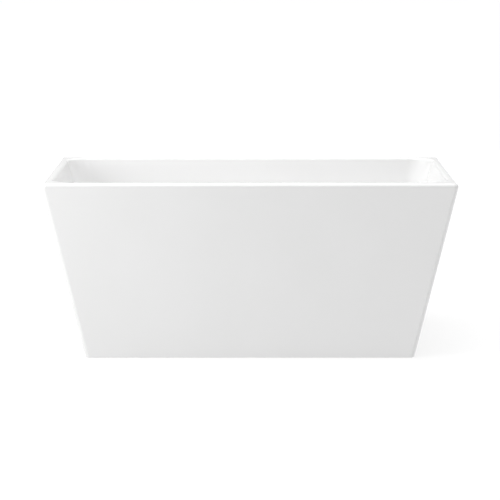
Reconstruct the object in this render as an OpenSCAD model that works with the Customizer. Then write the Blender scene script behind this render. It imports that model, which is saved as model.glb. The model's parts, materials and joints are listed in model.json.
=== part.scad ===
// Freestanding double-walled bathtub.
// Origin on the floor under the middle of the tub. +X runs along its length, -Y is the near
// long side, where the overflow is, and +Z points up. All sizes are in millimetres.

/* [Overall size] */
// Length over the rim
tub_length = 1400; // [1300:10:1700]
// Width over the rim
tub_width = 700; // [680:10:850]
// Height from the floor to the top of the rim
tub_height = 605; // [560:5:680]
// Gap between the floor and the bottom edge of the skirt
floor_gap = 2; // [1:0.5:6]
// How far each end of the skirt leans in between rim and floor
end_lean = 138; // [90:2:165]
// How far each long side of the skirt leans in between rim and floor
side_lean = 18; // [8:1:26]

/* [Rim] */
// Radius of the rim's outer edge and of the skirt's upright corners
rim_round = 15; // [12:0.5:20]
// Width of the flat on top of the rim
rim_flat = 7; // [5:0.5:20]
// Radius of the rim's inner edge
lip_round = 8; // [6:0.5:10]
// How far the basin's rim turns down over the skirt
rim_drop = 34; // [30:1:45]
// How far the bonding paste runs down behind the skirt
bond_lap = 18; // [10:1:25]

/* [Basin] */
// Height of the basin floor
basin_floor = 165; // [155:1:185]
// Radius of the basin's corners and of the sweep between floor and walls
basin_corner = 80; // [70:1:95]
// How far each end wall of the basin slopes in
basin_end_slope = 105; // [90:1:125]
// How far each long wall of the basin slopes in
basin_side_slope = 65; // [55:1:80]
// Thickness of the acrylic sheet
acrylic = 5; // [4:0.5:6]
// Thickness of the glass-fibre laminate behind the acrylic
laminate = 3; // [2:0.5:4]
// Depth of the dished seat round the drain
dish_depth = 3; // [2:0.5:3]

/* [Frame] */
// Thickness of the plywood board under the basin floor
board_t = 18; // [15:1:20]
// Outside width of the square steel tubes
tube_w = 25; // [20:1:30]
// Wall of the square steel tubes
tube_wall = 2; // [1.5:0.25:3]
// Distance between the two long rails, centre to centre
rail_spacing = 300; // [240:5:310]
// Distance from the middle to each outer cross tube
cross_out_x = 400; // [340:5:430]
// Distance from the middle to each inner cross tube
cross_in_x = 140; // [110:5:180]
// Height of the timber battens inside the skirt's bottom edge
batten_h = 40; // [30:1:44]
// Thickness of the timber battens
batten_t = 20; // [15:1:25]
// Thickness of the steel angle brackets
bracket_t = 3; // [2:0.5:4]

/* [Feet] */
// Distance from the long centre line to each foot
foot_y = 232; // [210:1:240]
// Diameter of the levelling studs
stud_d = 12; // [10:1:14]
// Diameter of the foot pads
pad_d = 50; // [40:1:56]
// Height of the foot pads
pad_h = 14; // [12:1:18]
// How far each foot screws out
foot_travel = 21; // [10:0.5:24]

/* [Waste] */
// Diameter of the hole in the basin for the waste
drain_hole_d = 52; // [50:0.5:55]
// Diameter of the threaded waste body
waste_d = 47.8; // [46:0.1:49]
// Inside diameter of the waste body
waste_bore_d = 40; // [38:0.5:41]
// Diameter of the waste's top flange
flange_d = 72; // [68:1:78]
// Diameter of the stopper cap
stopper_d = 60; // [56:1:64]
// How far the stopper lifts
stopper_travel = 10; // [6:0.5:12]
// Outside diameter of the tailpiece
tail_d = 38.1; // [38.1, 40]
// Height of the tailpiece's open end above the floor
tail_end = 12; // [8:1:20]

/* [Overflow] */
// Height of the overflow's centre above the floor
overflow_z = 485; // [460:1:500]
// Diameter of the hole in the basin wall for the overflow
overflow_hole_d = 42; // [40:0.5:46]
// Diameter of the overflow cover
cover_d = 70; // [64:1:76]
// Outside diameter of the overflow pipe
pipe_d = 32; // [30:0.5:34]
// Wall of the overflow pipe
pipe_wall = 2; // [1.5:0.25:3]

/* [Hidden] */

$fn = 64;

// Clearance round a screw or stud in its hole
screw_clear = 0.1;
// Clearance of a piece that turns or slides in a bore
running = 0.05;
// Hairline between a flange and the sloping wall it seats on
seat_gap = 0.05;
// Gap between faces that close on each other
face_gap = 0.3;
// A length that runs well past any solid it cuts
past = 5;
// Wall between skirt surface and the inside of its laminate
skirt_wall = acrylic + laminate;
// Whole width of the rim, from outer face to basin wall
rim_w = rim_round + rim_flat + lip_round;

// Height of the lower edge of the bonding paste
bond_z = tub_height - rim_drop - bond_lap;
// How far the skirt's laminate stops short of its bottom edge
laminate_up = 3;

// Half sizes of the outside at the rim and at the bottom
top_x = tub_length / 2;
top_y = tub_width / 2;
foot_line_x = top_x - end_lean;
foot_line_y = top_y - side_lean;
// Height over which the skirt leans
lean_h = tub_height - rim_round - floor_gap;
// Half sizes of the basin at the rim and level with the top of its floor sweep
basin_top_x = top_x - rim_w;
basin_top_y = top_y - rim_w;
basin_low_x = basin_top_x - basin_end_slope;
basin_low_y = basin_top_y - basin_side_slope;
sweep_z = basin_floor + basin_corner;
// Lean of the basin's long wall from upright, as it runs from the rim to touch the floor sweep
wall_run = basin_side_slope + basin_corner;
wall_drop = tub_height - sweep_z;
wall_tilt = atan(wall_run / wall_drop) - asin(basin_corner / norm([wall_run, wall_drop]));

// Underside of the basin, where the board is bonded, and the levels below it
basin_under = basin_floor - skirt_wall;
board_z = basin_under - board_t;
rail_z = board_z - tube_w;
cross_z = rail_z - tube_w;
// Half sizes of the flat part of the basin floor
floor_x = basin_low_x - basin_corner;
floor_y = basin_low_y - basin_corner;
board_x = floor_x - 5;
board_y = floor_y - 4;
board_corner = 30;
rail_y = rail_spacing / 2;
rail_half = board_x + 35;
cross_half = foot_line_y - skirt_wall - batten_t - 4;
cross_places = [-cross_out_x, -cross_in_x, cross_in_x, cross_out_x];

// Battens
batten_z = floor_gap + 4;
batten_gap = 0.5;

// Brackets
bracket_w = 30;
bracket_reach = 42;
bracket_low = batten_z + 4;
bracket_hole_in = 22;
end_bracket_reach = 50;

// Screws
screw_d = 6;
screw_head_d = 11;
screw_head_h = 4;
rail_screw_len = tube_w + 13;
batten_screw_len = 16;
batten_screw_rows = [8, 24];
rail_screw_places = [-300, -60, 60, 300];

// Feet
foot_places = [[-1, -1], [1, -1], [-1, 1], [1, 1]];
weld_nut_h = 10;
weld_nut_d = 22;
lock_nut_h = 7;
lock_nut_d = 21.9;
stud_top = cross_z + foot_travel + 12;
stud_collar_h = 6;
stud_collar_d = 21.9;
stud_foot_d = 8;
stud_foot_h = 8;
stud_hole_d = stud_d + 2 * running;
pad_shoulder_d = 30;
pad_shoulder_z = 6;
pad_foot_h = 4;

// Waste
dish_d = flange_d + 44;
dish_floor = basin_floor - dish_depth;
dish_under = dish_floor - acrylic;
gasket_t = 1.5;
flange_t = 3;
flange_z = dish_floor + gasket_t;
flange_top = flange_z + flange_t;
low_gasket_t = 3;
washer_t = 1.5;
locknut_t = 10;
locknut_d = 66;
low_gasket_z = dish_under - low_gasket_t;
washer_z = low_gasket_z - washer_t;
locknut_z = washer_z - locknut_t;
board_hole_d = locknut_d + 22;
tee_d = 58;
tee_socket_h = 24;
tee_top = locknut_z - 3;
waste_end = tee_top - tee_socket_h;
spider_z = waste_end + 6;
spider_h = 12;
spider_boss_d = 14;
spider_arm_w = 4;

// Stopper
cartridge_thread_d = 8;
cartridge_d = 18;
cartridge_bore_d = 10;
cartridge_z = spider_z + spider_h;
stopper_gap = 0.4;
cap_z = flange_top + stopper_gap;
cap_h = 6;
cap_boss_d = 16;
cap_boss_h = 6;
cartridge_top = cap_z - cap_boss_h - stopper_gap;
cartridge_floor = cartridge_z + 4;
stem_z = cartridge_floor + 2;
stem_d = cartridge_bore_d - 2 * running;
stem_hollow_d = 7.2;
stem_hollow_h = stopper_travel + 10;
spring_d = 6;
spring_wire = 0.9;
spring_turns = 8;
spring_sides = 6;
spring_steps = 16;
seal_t = 2.4;
seal_d = 48;
seat_d = seal_d + 4;

// Tee, tailpiece and their slip joint
tee_neck_d = 46;
tee_z = waste_end - 53;
branch_z = waste_end - 24;
tail_depth = 16;
tail_top = tee_z + tail_depth;
tail_nut_h = 16;
tail_nut_d = 60;
tail_nut_z = tee_z - 9;
tail_wall = 2;
tail_neck = tail_d - 1;
tail_neck_z = tail_nut_z - 0.5;
tail_washer_t = 4;
tee_branch_len = 58;
pipe_socket_d = pipe_d + 8;
pipe_fit = 0.1;

// Overflow, set out along an axis square to the sloping basin wall
overflow_y = seat_gap - (basin_top_y - (tub_height - overflow_z) * tan(wall_tilt));
bushing_d = 38;
bushing_bore_d = 32;
bushing_flange_d = 58;
bushing_flange_t = 3;
bushing_len = 20;
cover_h = 11;
cover_wall = 2;
cover_slot_w = 40;
cover_gap = 1;
collar_wall = 1.5;
collar_depth = 8;
collar_window = 18;
overflow_gasket_t = 3;
overflow_gasket_d = 60;
hopper_wall = 2.5;
hopper_w = 66;
hopper_top = overflow_z + 31;
hopper_low = overflow_z - 175;
hopper_gap = 3;
hopper_face = (skirt_wall + overflow_gasket_t) / cos(wall_tilt);
hopper_out_y = -(skirt_in_y(hopper_low) - hopper_gap);
outlet_h = 22;
pipe_nut_h = 20;
pipe_nut_d = pipe_socket_d + 6;
pipe_nut_low = hopper_low - outlet_h - 5;
outlet_y = -(skirt_in_y(pipe_nut_low) - hopper_gap - pipe_nut_d / 2);
pipe_top = hopper_low - 4;
elbow_bend = 30;
elbow_socket = 24;
elbow_stop = 4;
pipe_low = branch_z + elbow_bend + elbow_stop;
branch_end = -tee_branch_len + 20;
branch_start = outlet_y + elbow_bend + elbow_stop;

// How far out the inside of the skirt's laminate is, at a height, on the long and the short sides
function skirt_in_y(z) = foot_line_y - skirt_wall + (z - floor_gap) * side_lean / lean_h;
function skirt_in_x(z) = foot_line_x - skirt_wall + (z - floor_gap) * end_lean / lean_h;

// ---- Shapes that repeat ----

// Puts its children at the four corners of a rectangle
module corners(x, y) {
    for (sx = [-1, 1], sy = [-1, 1])
        translate([sx * x, sy * y, 0])
            children();
}

// A ball of true radius at its equator and poles, cut flat below low_angle
module edge_ball(r, low_angle) {
    steps = 12;
    rotate_extrude($fn = 48)
        polygon(concat(
            [[0, r * sin(low_angle)]],
            [for (i = [0 : steps]) let (a = low_angle + (90 - low_angle) * i / steps)
                [r * cos(a), r * sin(a)]]
        ));
}

// The outside of the tub, shrunk all round by inset: straight leaning sides and a rounded top edge
module outer_form(inset) {
    r = rim_round - inset;
    hull() {
        translate([0, 0, tub_height - rim_round])
            corners(top_x - rim_round, top_y - rim_round)
                edge_ball(r, -20);
        translate([0, 0, floor_gap - past])
            corners(
                foot_line_x - rim_round - past * end_lean / lean_h,
                foot_line_y - rim_round - past * side_lean / lean_h
            )
                cylinder(r = r, h = 0.01, $fn = 48);
    }
}

// The hollow of the basin, grown all round by grow, up to the height top
module basin_form(grow, top) {
    r = basin_corner + grow;
    over = (top - tub_height) / (tub_height - sweep_z);
    hull() {
        translate([0, 0, top - 0.01])
            corners(
                basin_top_x - basin_corner + over * basin_end_slope,
                basin_top_y - basin_corner + over * basin_side_slope
            )
                cylinder(r = r, h = 0.01, $fn = 64);
        translate([0, 0, sweep_z])
            corners(basin_low_x - basin_corner, basin_low_y - basin_corner)
                rotate([180, 0, 0])
                    edge_ball(r, -20, $fn = 64);
    }
}

// One thin layer of the basin's opening, out feet wider than the basin wall
module lip_layer(out, z) {
    translate([0, 0, z])
        corners(basin_top_x - basin_corner, basin_top_y - basin_corner)
            cylinder(r = basin_corner + out, h = 0.01, $fn = 64);
}

// The flare that rounds the rim's inner edge over
module lip_flare() {
    steps = 6;
    for (i = [0 : steps - 1])
        hull() {
            lip_layer(lip_round * (1 - cos(90 * i / steps)),
                tub_height - lip_round * (1 - sin(90 * i / steps)));
            lip_layer(lip_round * (1 - cos(90 * (i + 1) / steps)),
                tub_height - lip_round * (1 - sin(90 * (i + 1) / steps)));
        }
}

// A block that fills everything above a height, or below it
module all_above(z) {
    translate([-tub_length, -tub_width, z])
        cube([2 * tub_length, 2 * tub_width, tub_height]);
}

module all_below(z) {
    translate([-tub_length, -tub_width, z - 2 * tub_height])
        cube([2 * tub_length, 2 * tub_width, 2 * tub_height]);
}

// A tube from z upwards
module tube(outer_d, inner_d, z, h) {
    translate([0, 0, z])
        difference() {
            cylinder(d = outer_d, h = h);
            translate([0, 0, -1])
                cylinder(d = inner_d, h = h + 2);
        }
}

// A hexagon nut of a width over corners, with a round hole
module hex_nut(over_corners, hole_d, z, h) {
    translate([0, 0, z])
        difference() {
            cylinder(d = over_corners, h = h, $fn = 6);
            translate([0, 0, -1])
                cylinder(d = hole_d, h = h + 2);
        }
}

// Turns its children to the overflow's axis, with +Z pointing into the basin from its wall
module at_overflow() {
    translate([0, overflow_y, overflow_z])
        rotate([-90 + wall_tilt, 0, 0])
            children();
}

// A square tube along X with its lowest face at z = 0
module square_tube(half) {
    rotate([90, 0, 90])
        translate([0, tube_w / 2, -half])
            linear_extrude(2 * half)
                difference() {
                    square(tube_w, center = true);
                    square(tube_w - 2 * tube_wall, center = true);
                }
}

// A flat-headed screw with its head's underside at z = 0 and its shank up along +Z
module screw(length) {
    cylinder(d = screw_d, h = length);
    translate([0, 0, -screw_head_h])
        cylinder(d = screw_head_d, h = screw_head_h, $fn = 6);
}

// ---- Shells ----

module basin_shell() {
    color("white")
        difference() {
            union() {
                difference() {
                    outer_form(0);
                    outer_form(acrylic);
                    all_below(tub_height - rim_drop);
                }
                difference() {
                    basin_form(acrylic, tub_height);
                    all_above(tub_height);
                }
                translate([0, 0, dish_under])
                    cylinder(d = dish_d + 2 * acrylic, h = dish_depth + 1);
            }
            basin_form(0, tub_height + 1);
            lip_flare();
            translate([0, 0, dish_floor])
                cylinder(d1 = flange_d + 6, d2 = dish_d, h = dish_depth + 0.01);
            translate([0, 0, dish_under - 1])
                cylinder(d = drain_hole_d, h = 2 * past + acrylic);
            at_overflow()
                translate([0, 0, -2 * past])
                    cylinder(d = overflow_hole_d, h = 4 * past);
        }
}

module basin_laminate() {
    color("wheat")
        difference() {
            difference() {
                basin_form(skirt_wall, tub_height);
                all_above(bond_z);
            }
            basin_form(acrylic, tub_height);
            translate([0, 0, basin_under - 1])
                cylinder(d = dish_d + 2 * acrylic, h = skirt_wall + 1);
            at_overflow()
                translate([0, 0, -4 * past])
                    cylinder(d = overflow_hole_d, h = 4 * past);
        }
}

module outer_skirt() {
    color("white")
        difference() {
            outer_form(0);
            outer_form(acrylic);
            all_above(tub_height - rim_drop);
            all_below(floor_gap);
        }
}

module skirt_laminate() {
    color("wheat")
        difference() {
            outer_form(acrylic);
            outer_form(skirt_wall);
            all_above(bond_z);
            all_below(floor_gap + laminate_up);
        }
}

// Resin paste that fills the head of the gap between basin and skirt, and bonds the two
module rim_bond() {
    color("tan")
        difference() {
            outer_form(acrylic);
            basin_form(acrylic, tub_height);
            all_below(bond_z);
        }
}

// ---- Board and frame ----

module base_board() {
    color("burlywood")
        difference() {
            translate([0, 0, board_z])
                linear_extrude(board_t)
                    difference() {
                        union() {
                            square([2 * board_x, 2 * (board_y - board_corner)], center = true);
                            square([2 * (board_x - board_corner), 2 * board_y], center = true);
                            for (sx = [-1, 1], sy = [-1, 1])
                                translate([sx * (board_x - board_corner), sy * (board_y - board_corner)])
                                    circle(r = board_corner);
                        }
                        circle(d = max(board_hole_d, dish_d + 2 * acrylic + 2));
                    }
            rail_screw_holes(board_z - 1, rail_screw_len - tube_w + 2);
        }
}

module rail_screw_holes(z, h) {
    for (x = rail_screw_places, sy = [-1, 1])
        translate([x, sy * rail_y, z])
            cylinder(d = screw_d + 2 * screw_clear, h = h);
}

module rail(sy) {
    color("lightgrey")
        difference() {
            translate([0, sy * rail_y, rail_z])
                square_tube(rail_half);
            rail_screw_holes(rail_z - 1, tube_w + 2);
            for (sx = [-1, 1])
                translate([sx * (rail_half - bracket_hole_in), sy * rail_y, rail_z - 1])
                    cylinder(d = screw_d + 2 * screw_clear, h = tube_wall + 2);
        }
}

module rail_front() rail(-1);

module rail_back() rail(1);

module cross_tube(x, with_feet) {
    color("lightgrey")
        difference() {
            translate([x, 0, cross_z])
                rotate([0, 0, 90])
                    square_tube(cross_half);
            for (sy = [-1, 1]) {
                translate([x, sy * (cross_half - bracket_hole_in), cross_z - 1])
                    cylinder(d = screw_d + 2 * screw_clear, h = tube_wall + 2);
                if (with_feet)
                    translate([x, sy * foot_y, cross_z - 1])
                        cylinder(d = stud_d + 1, h = tube_w + 2);
            }
        }
}

module cross_tube_left() cross_tube(-cross_out_x, true);

module cross_tube_mid_left() cross_tube(-cross_in_x, false);

module cross_tube_mid_right() cross_tube(cross_in_x, false);

module cross_tube_right() cross_tube(cross_out_x, true);

// One plastic plug in the end of a square tube that leaves it along +X
module tube_plug() {
    rim = 2;
    depth = 10;
    inside = tube_w - 2 * tube_wall - 2 * screw_clear;
    translate([0, -tube_w / 2, 0])
        cube([rim, tube_w, tube_w]);
    translate([-depth, -inside / 2, (tube_w - inside) / 2])
        cube([depth, inside, inside]);
}

module tube_plugs() {
    color("dimgrey") {
        for (sx = [0, 180], sy = [-1, 1])
            translate([0, sy * rail_y, rail_z])
                rotate([0, 0, sx])
                    translate([rail_half, 0, 0])
                        tube_plug();
        for (x = cross_places, turn = [90, -90])
            translate([x, 0, cross_z])
                rotate([0, 0, turn])
                    translate([cross_half, 0, 0])
                        tube_plug();
    }
}

module rail_screws() {
    color("silver")
        for (x = rail_screw_places, sy = [-1, 1])
            translate([x, sy * rail_y, rail_z])
                screw(rail_screw_len);
}

// ---- Battens and brackets ----

// A timber batten along the bottom of a long side, its outer face cut to the skirt's lean
module batten_long(sy) {
    z0 = batten_z;
    z1 = batten_z + batten_h;
    y0 = skirt_in_y(z0) - batten_gap;
    y1 = skirt_in_y(z1) - batten_gap;
    x0 = batten_inner_x() - 1;
    color("peru")
        mirror([0, sy < 0 ? 1 : 0, 0])
            difference() {
                rotate([90, 0, 90])
                    translate([0, 0, -x0])
                        linear_extrude(2 * x0)
                            polygon([[y0 - batten_t, z0], [y0, z0], [y1, z1], [y0 - batten_t, z1]]);
                for (x = cross_places, row = batten_screw_rows)
                    translate([x, y0 - batten_t - 1, batten_z + row])
                        rotate([-90, 0, 0])
                            cylinder(d = screw_d + 2 * screw_clear, h = batten_screw_len + 2);
            }
}

// How far out the inner faces of the end battens and of the long battens are
function batten_inner_x() = skirt_in_x(batten_z) - batten_gap - batten_t;
function batten_inner_y() = skirt_in_y(batten_z) - batten_gap - batten_t;

// A timber batten along the bottom of an end
module batten_end(sx) {
    z0 = batten_z;
    z1 = batten_z + batten_h;
    x0 = skirt_in_x(z0) - batten_gap;
    x1 = skirt_in_x(z1) - batten_gap;
    half = skirt_in_y(z0) - rim_round;
    color("peru")
        mirror([sx < 0 ? 1 : 0, 0, 0])
            difference() {
                rotate([90, 0, 0])
                    translate([0, 0, -half])
                        linear_extrude(2 * half)
                            polygon([[x0 - batten_t, z0], [x0, z0], [x1, z1], [x0 - batten_t, z1]]);
                for (sy = [-1, 1], row = batten_screw_rows)
                    translate([x0 - batten_t - 1, sy * rail_y, batten_z + row])
                        rotate([0, 90, 0])
                            cylinder(d = screw_d + 2 * screw_clear, h = batten_screw_len + 2);
            }
}

module batten_front() batten_long(-1);

module batten_back() batten_long(1);

module batten_left() batten_end(-1);

module batten_right() batten_end(1);

// A steel angle on the inside of a batten that faces +X: a leg down the batten, and one in
// under a tube whose underside is at height top
module bracket(reach, top, tube_end) {
    hole_d = screw_d + 2 * screw_clear;
    difference() {
        union() {
            translate([-bracket_t, -bracket_w / 2, bracket_low])
                cube([bracket_t, bracket_w, top - bracket_low]);
            translate([-reach, -bracket_w / 2, top - bracket_t])
                cube([reach, bracket_w, bracket_t]);
        }
        for (row = batten_screw_rows)
            translate([-bracket_t - 1, 0, batten_z + row])
                rotate([0, 90, 0])
                    cylinder(d = hole_d, h = bracket_t + 2);
        translate([tube_end - bracket_hole_in, 0, top - bracket_t - 1])
            cylinder(d = hole_d, h = bracket_t + 2);
    }
}

// The screws of one bracket
module bracket_screw_set(top, tube_end) {
    for (row = batten_screw_rows)
        translate([-bracket_t, 0, batten_z + row])
            rotate([0, 90, 0])
                screw(batten_screw_len + bracket_t - 1);
    translate([tube_end - bracket_hole_in, 0, top - bracket_t])
        screw(bracket_t + tube_wall + 6);
}

// Puts its children on each long batten at each cross tube, turned to face it
module at_side_brackets() {
    for (x = cross_places, turn = [90, -90])
        translate([x, 0, 0])
            rotate([0, 0, turn])
                translate([batten_inner_y(), 0, 0])
                    children();
}

// Puts its children on each end batten at each rail, turned to face it
module at_end_brackets() {
    for (turn = [0, 180], sy = [-1, 1])
        rotate([0, 0, turn])
            translate([batten_inner_x(), sy * rail_y, 0])
                children();
}

module side_brackets() {
    color("lightgrey")
        at_side_brackets()
            bracket(bracket_reach, cross_z, cross_half - batten_inner_y());
}

module end_brackets() {
    color("lightgrey")
        at_end_brackets()
            bracket(end_bracket_reach, rail_z, rail_half - batten_inner_x());
}

module bracket_screws() {
    color("silver") {
        at_side_brackets()
            bracket_screw_set(cross_z, cross_half - batten_inner_y());
        at_end_brackets()
            bracket_screw_set(rail_z, rail_half - batten_inner_x());
    }
}

// ---- Feet ----

module at_feet() {
    for (place = foot_places)
        translate([place[0] * cross_out_x, place[1] * foot_y, 0])
            children();
}

module foot_weld_nuts() {
    color("silver")
        at_feet()
            hex_nut(weld_nut_d, stud_hole_d, cross_z - weld_nut_h, weld_nut_h);
}

module foot_lock_nuts() {
    color("silver")
        at_feet()
            hex_nut(lock_nut_d, stud_hole_d, cross_z - weld_nut_h - lock_nut_h, lock_nut_h);
}

// A stud with a wrench collar that stands on its pad and a spigot that turns inside it
module foot_stud(place) {
    color("silver")
        translate([place[0] * cross_out_x, place[1] * foot_y, 0]) {
            translate([0, 0, pad_h])
                cylinder(d = stud_d, h = stud_top - pad_h);
            translate([0, 0, pad_h])
                cylinder(d = stud_collar_d, h = stud_collar_h, $fn = 6);
            translate([0, 0, pad_h - stud_foot_h])
                cylinder(d = stud_foot_d, h = stud_foot_h + 1);
        }
}

module foot_pad(place) {
    bore = stud_foot_d + 2 * running;
    color("dimgrey")
        translate([place[0] * cross_out_x, place[1] * foot_y, 0])
            rotate_extrude()
                polygon([
                    [0, 0], [pad_d / 2 - 1, 0], [pad_d / 2, 1], [pad_d / 2, pad_foot_h],
                    [pad_shoulder_d / 2, pad_foot_h + pad_shoulder_z],
                    [pad_shoulder_d / 2 - 2, pad_h], [bore / 2, pad_h],
                    [bore / 2, pad_h - stud_foot_h - face_gap], [0, pad_h - stud_foot_h - face_gap]
                ]);
}

module foot_stud_front_left() foot_stud(foot_places[0]);

module foot_stud_front_right() foot_stud(foot_places[1]);

module foot_stud_back_left() foot_stud(foot_places[2]);

module foot_stud_back_right() foot_stud(foot_places[3]);

module foot_pad_front_left() foot_pad(foot_places[0]);

module foot_pad_front_right() foot_pad(foot_places[1]);

module foot_pad_back_left() foot_pad(foot_places[2]);

module foot_pad_back_right() foot_pad(foot_places[3]);

// ---- Waste and stopper ----

// Threaded brass body with its top flange and the cross bars that carry the stopper
module drain_flange() {
    seat_floor = flange_z + 0.6;
    color("gainsboro") {
        rotate_extrude()
            polygon([
                [waste_bore_d / 2, waste_end], [waste_d / 2, waste_end], [waste_d / 2, flange_z],
                [flange_d / 2, flange_z], [flange_d / 2, flange_z + 1],
                [flange_d / 2 - 3, flange_top], [seat_d / 2 + 2, flange_top],
                [seat_d / 2, seat_floor], [waste_bore_d / 2 + 1.5, seat_floor],
                [waste_bore_d / 2, seat_floor - 1.5]
            ]);
        difference() {
            union() {
                translate([0, 0, spider_z])
                    cylinder(d = spider_boss_d, h = spider_h);
                for (turn = [0, 90])
                    rotate([0, 0, turn])
                        translate([-waste_bore_d / 2 - 1, -spider_arm_w / 2, spider_z])
                            cube([waste_bore_d + 2, spider_arm_w, spider_h / 2]);
            }
            translate([0, 0, spider_z - 1])
                cylinder(d = cartridge_thread_d, h = spider_h + 2);
        }
    }
}

module drain_gasket_top() {
    color("dimgrey")
        tube(flange_d - 4, waste_d + 0.4, dish_floor, gasket_t);
}

module drain_gasket_bottom() {
    color("dimgrey")
        tube(locknut_d - 4, waste_d + 0.4, low_gasket_z, low_gasket_t);
}

module drain_washer() {
    color("white")
        tube(locknut_d - 4, waste_d + 0.6, washer_z, washer_t);
}

module drain_locknut() {
    color("goldenrod")
        hex_nut(locknut_d, waste_d, locknut_z, locknut_t);
}

module stopper_cartridge() {
    color("gainsboro")
        rotate_extrude()
            polygon([
                [0, spider_z - 2], [cartridge_thread_d / 2, spider_z - 2],
                [cartridge_thread_d / 2, cartridge_z], [cartridge_d / 2, cartridge_z],
                [cartridge_d / 2, cartridge_top - 1], [cartridge_d / 2 - 1, cartridge_top],
                [cartridge_bore_d / 2, cartridge_top], [cartridge_bore_d / 2, cartridge_floor],
                [0, cartridge_floor]
            ]);
}

// A coil spring between the cartridge's floor and the top of the hollow stem
module stopper_spring() {
    z0 = cartridge_floor + spring_wire / 2 + face_gap;
    z1 = stem_z + stem_hollow_h - spring_wire / 2 - face_gap;
    rings = spring_turns * spring_steps;
    coil_r = (spring_d - spring_wire) / 2;
    points = [
        for (i = [0 : rings], k = [0 : spring_sides - 1])
            let (
                turn = 360 * i / spring_steps,
                side = 360 * k / spring_sides,
                r = coil_r + spring_wire / 2 * cos(side)
            )
            [r * cos(turn), r * sin(turn), z0 + (z1 - z0) * i / rings + spring_wire / 2 * sin(side)]
    ];
    faces = concat(
        [[for (k = [0 : spring_sides - 1]) k]],
        [
            for (i = [0 : rings - 1], k = [0 : spring_sides - 1])
                let (a = i * spring_sides, n = (k + 1) % spring_sides)
                [a + k, a + spring_sides + k, a + spring_sides + n, a + n]
        ],
        [[for (k = [spring_sides - 1 : -1 : 0]) rings * spring_sides + k]]
    );
    color("silver")
        polyhedron(points = points, faces = faces, convexity = 10);
}

// Hollow plunger that slides in the cartridge and carries the cap
module stopper_stem() {
    color("gainsboro")
        rotate_extrude()
            polygon([
                [stem_hollow_d / 2, stem_z], [stem_d / 2, stem_z], [stem_d / 2, cap_z - cap_boss_h],
                [cartridge_thread_d / 2, cap_z - cap_boss_h], [cartridge_thread_d / 2, cap_z],
                [0, cap_z], [0, stem_z + stem_hollow_h], [stem_hollow_d / 2, stem_z + stem_hollow_h]
            ]);
}

// Shallow domed cap with a threaded boss underneath
module stopper_cap() {
    r = stopper_d / 2;
    dome_steps = 10;
    color("gainsboro")
        rotate_extrude()
            polygon(concat(
                [
                    [cartridge_thread_d / 2, cap_z], [cartridge_thread_d / 2, cap_z - cap_boss_h],
                    [cap_boss_d / 2, cap_z - cap_boss_h], [cap_boss_d / 2, cap_z],
                    [r - 1, cap_z], [r, cap_z + 1]
                ],
                [for (i = [0 : dome_steps]) let (a = 90 * i / dome_steps)
                    [r * cos(a), cap_z + 2 + (cap_h - 2) * sin(a)]],
                [[0, cap_z]]
            ));
}

module stopper_seal() {
    color("dimgrey")
        tube(seal_d, cap_boss_d, cap_z - seal_t, seal_t);
}

// ---- Tee and tailpiece ----

module drain_tee() {
    color("dimgrey")
        difference() {
            union() {
                translate([0, 0, waste_end - 8])
                    cylinder(d = tee_d, h = tee_top - waste_end + 8);
                translate([0, 0, tee_z])
                    cylinder(d = tee_neck_d, h = waste_end - tee_z);
                translate([0, 0, branch_z])
                    rotate([90, 0, 0])
                        cylinder(d = pipe_socket_d, h = tee_branch_len);
            }
            translate([0, 0, waste_end])
                cylinder(d = waste_d, h = tee_socket_h + 1);
            translate([0, 0, tee_z - 1])
                cylinder(d = tail_d - 4, h = waste_end - tee_z + 2);
            translate([0, 0, tee_z - 1])
                cylinder(d = tail_neck + 2 * pipe_fit, h = tail_depth + 1);
            translate([0, 0, branch_z])
                rotate([90, 0, 0])
                    cylinder(d = pipe_d - 2 * pipe_wall, h = tee_branch_len + 1);
            translate([0, branch_end, branch_z])
                rotate([90, 0, 0])
                    cylinder(d = pipe_d + 2 * pipe_fit, h = tee_branch_len);
        }
}

module tail_nut() {
    color("goldenrod")
        difference() {
            translate([0, 0, tail_nut_z])
                cylinder(d = tail_nut_d, h = tail_nut_h, $fn = 6);
            translate([0, 0, tail_nut_z - 1])
                cylinder(d = tail_d + 1, h = tail_nut_h + 2);
            translate([0, 0, tee_z - tail_washer_t])
                cylinder(d = tee_neck_d, h = tail_nut_h);
        }
}

module tail_washer() {
    color("white")
        tube(tee_neck_d - 1, tail_neck, tee_z - tail_washer_t, tail_washer_t);
}

// Its upper part is a little slimmer, so the free end below the nut is one plain cylinder
module tailpiece() {
    color("gainsboro")
        difference() {
            union() {
                translate([0, 0, tail_end])
                    cylinder(d = tail_d, h = tail_neck_z - tail_end);
                translate([0, 0, tail_neck_z - 1])
                    cylinder(d = tail_neck, h = tail_top - tail_neck_z + 1);
            }
            translate([0, 0, tail_end - 1])
                cylinder(d = tail_d - 2 * tail_wall, h = tail_top - tail_end + 2);
        }
}

// ---- Overflow ----

// Round cover with a slot along its lower edge, and a windowed collar that pushes into the bush
module overflow_cover() {
    r = cover_d / 2;
    back = cover_gap;
    rim = 2;
    inside = back + cover_h - cover_wall;
    collar_in = bushing_bore_d / 2 - collar_wall;
    color("gainsboro")
        at_overflow()
            difference() {
                rotate_extrude()
                    polygon([
                        [0, inside], [collar_in, inside], [collar_in, -collar_depth],
                        [bushing_bore_d / 2, -collar_depth], [bushing_bore_d / 2, inside],
                        [r - cover_wall - rim, inside], [r - cover_wall, inside - rim],
                        [r - cover_wall, back], [r, back], [r, back + cover_h - rim],
                        [r - rim, back + cover_h], [0, back + cover_h]
                    ]);
                translate([-cover_slot_w / 2, bushing_flange_d / 2, back - 1])
                    cube([cover_slot_w, r, cover_h - 2 * rim]);
                for (turn = [0, 90])
                    rotate([0, 0, turn])
                        translate([-collar_window / 2, -bushing_bore_d / 2 - 1, bushing_flange_t])
                            cube([collar_window, bushing_bore_d + 2, inside - bushing_flange_t - 1]);
            }
}

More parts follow.
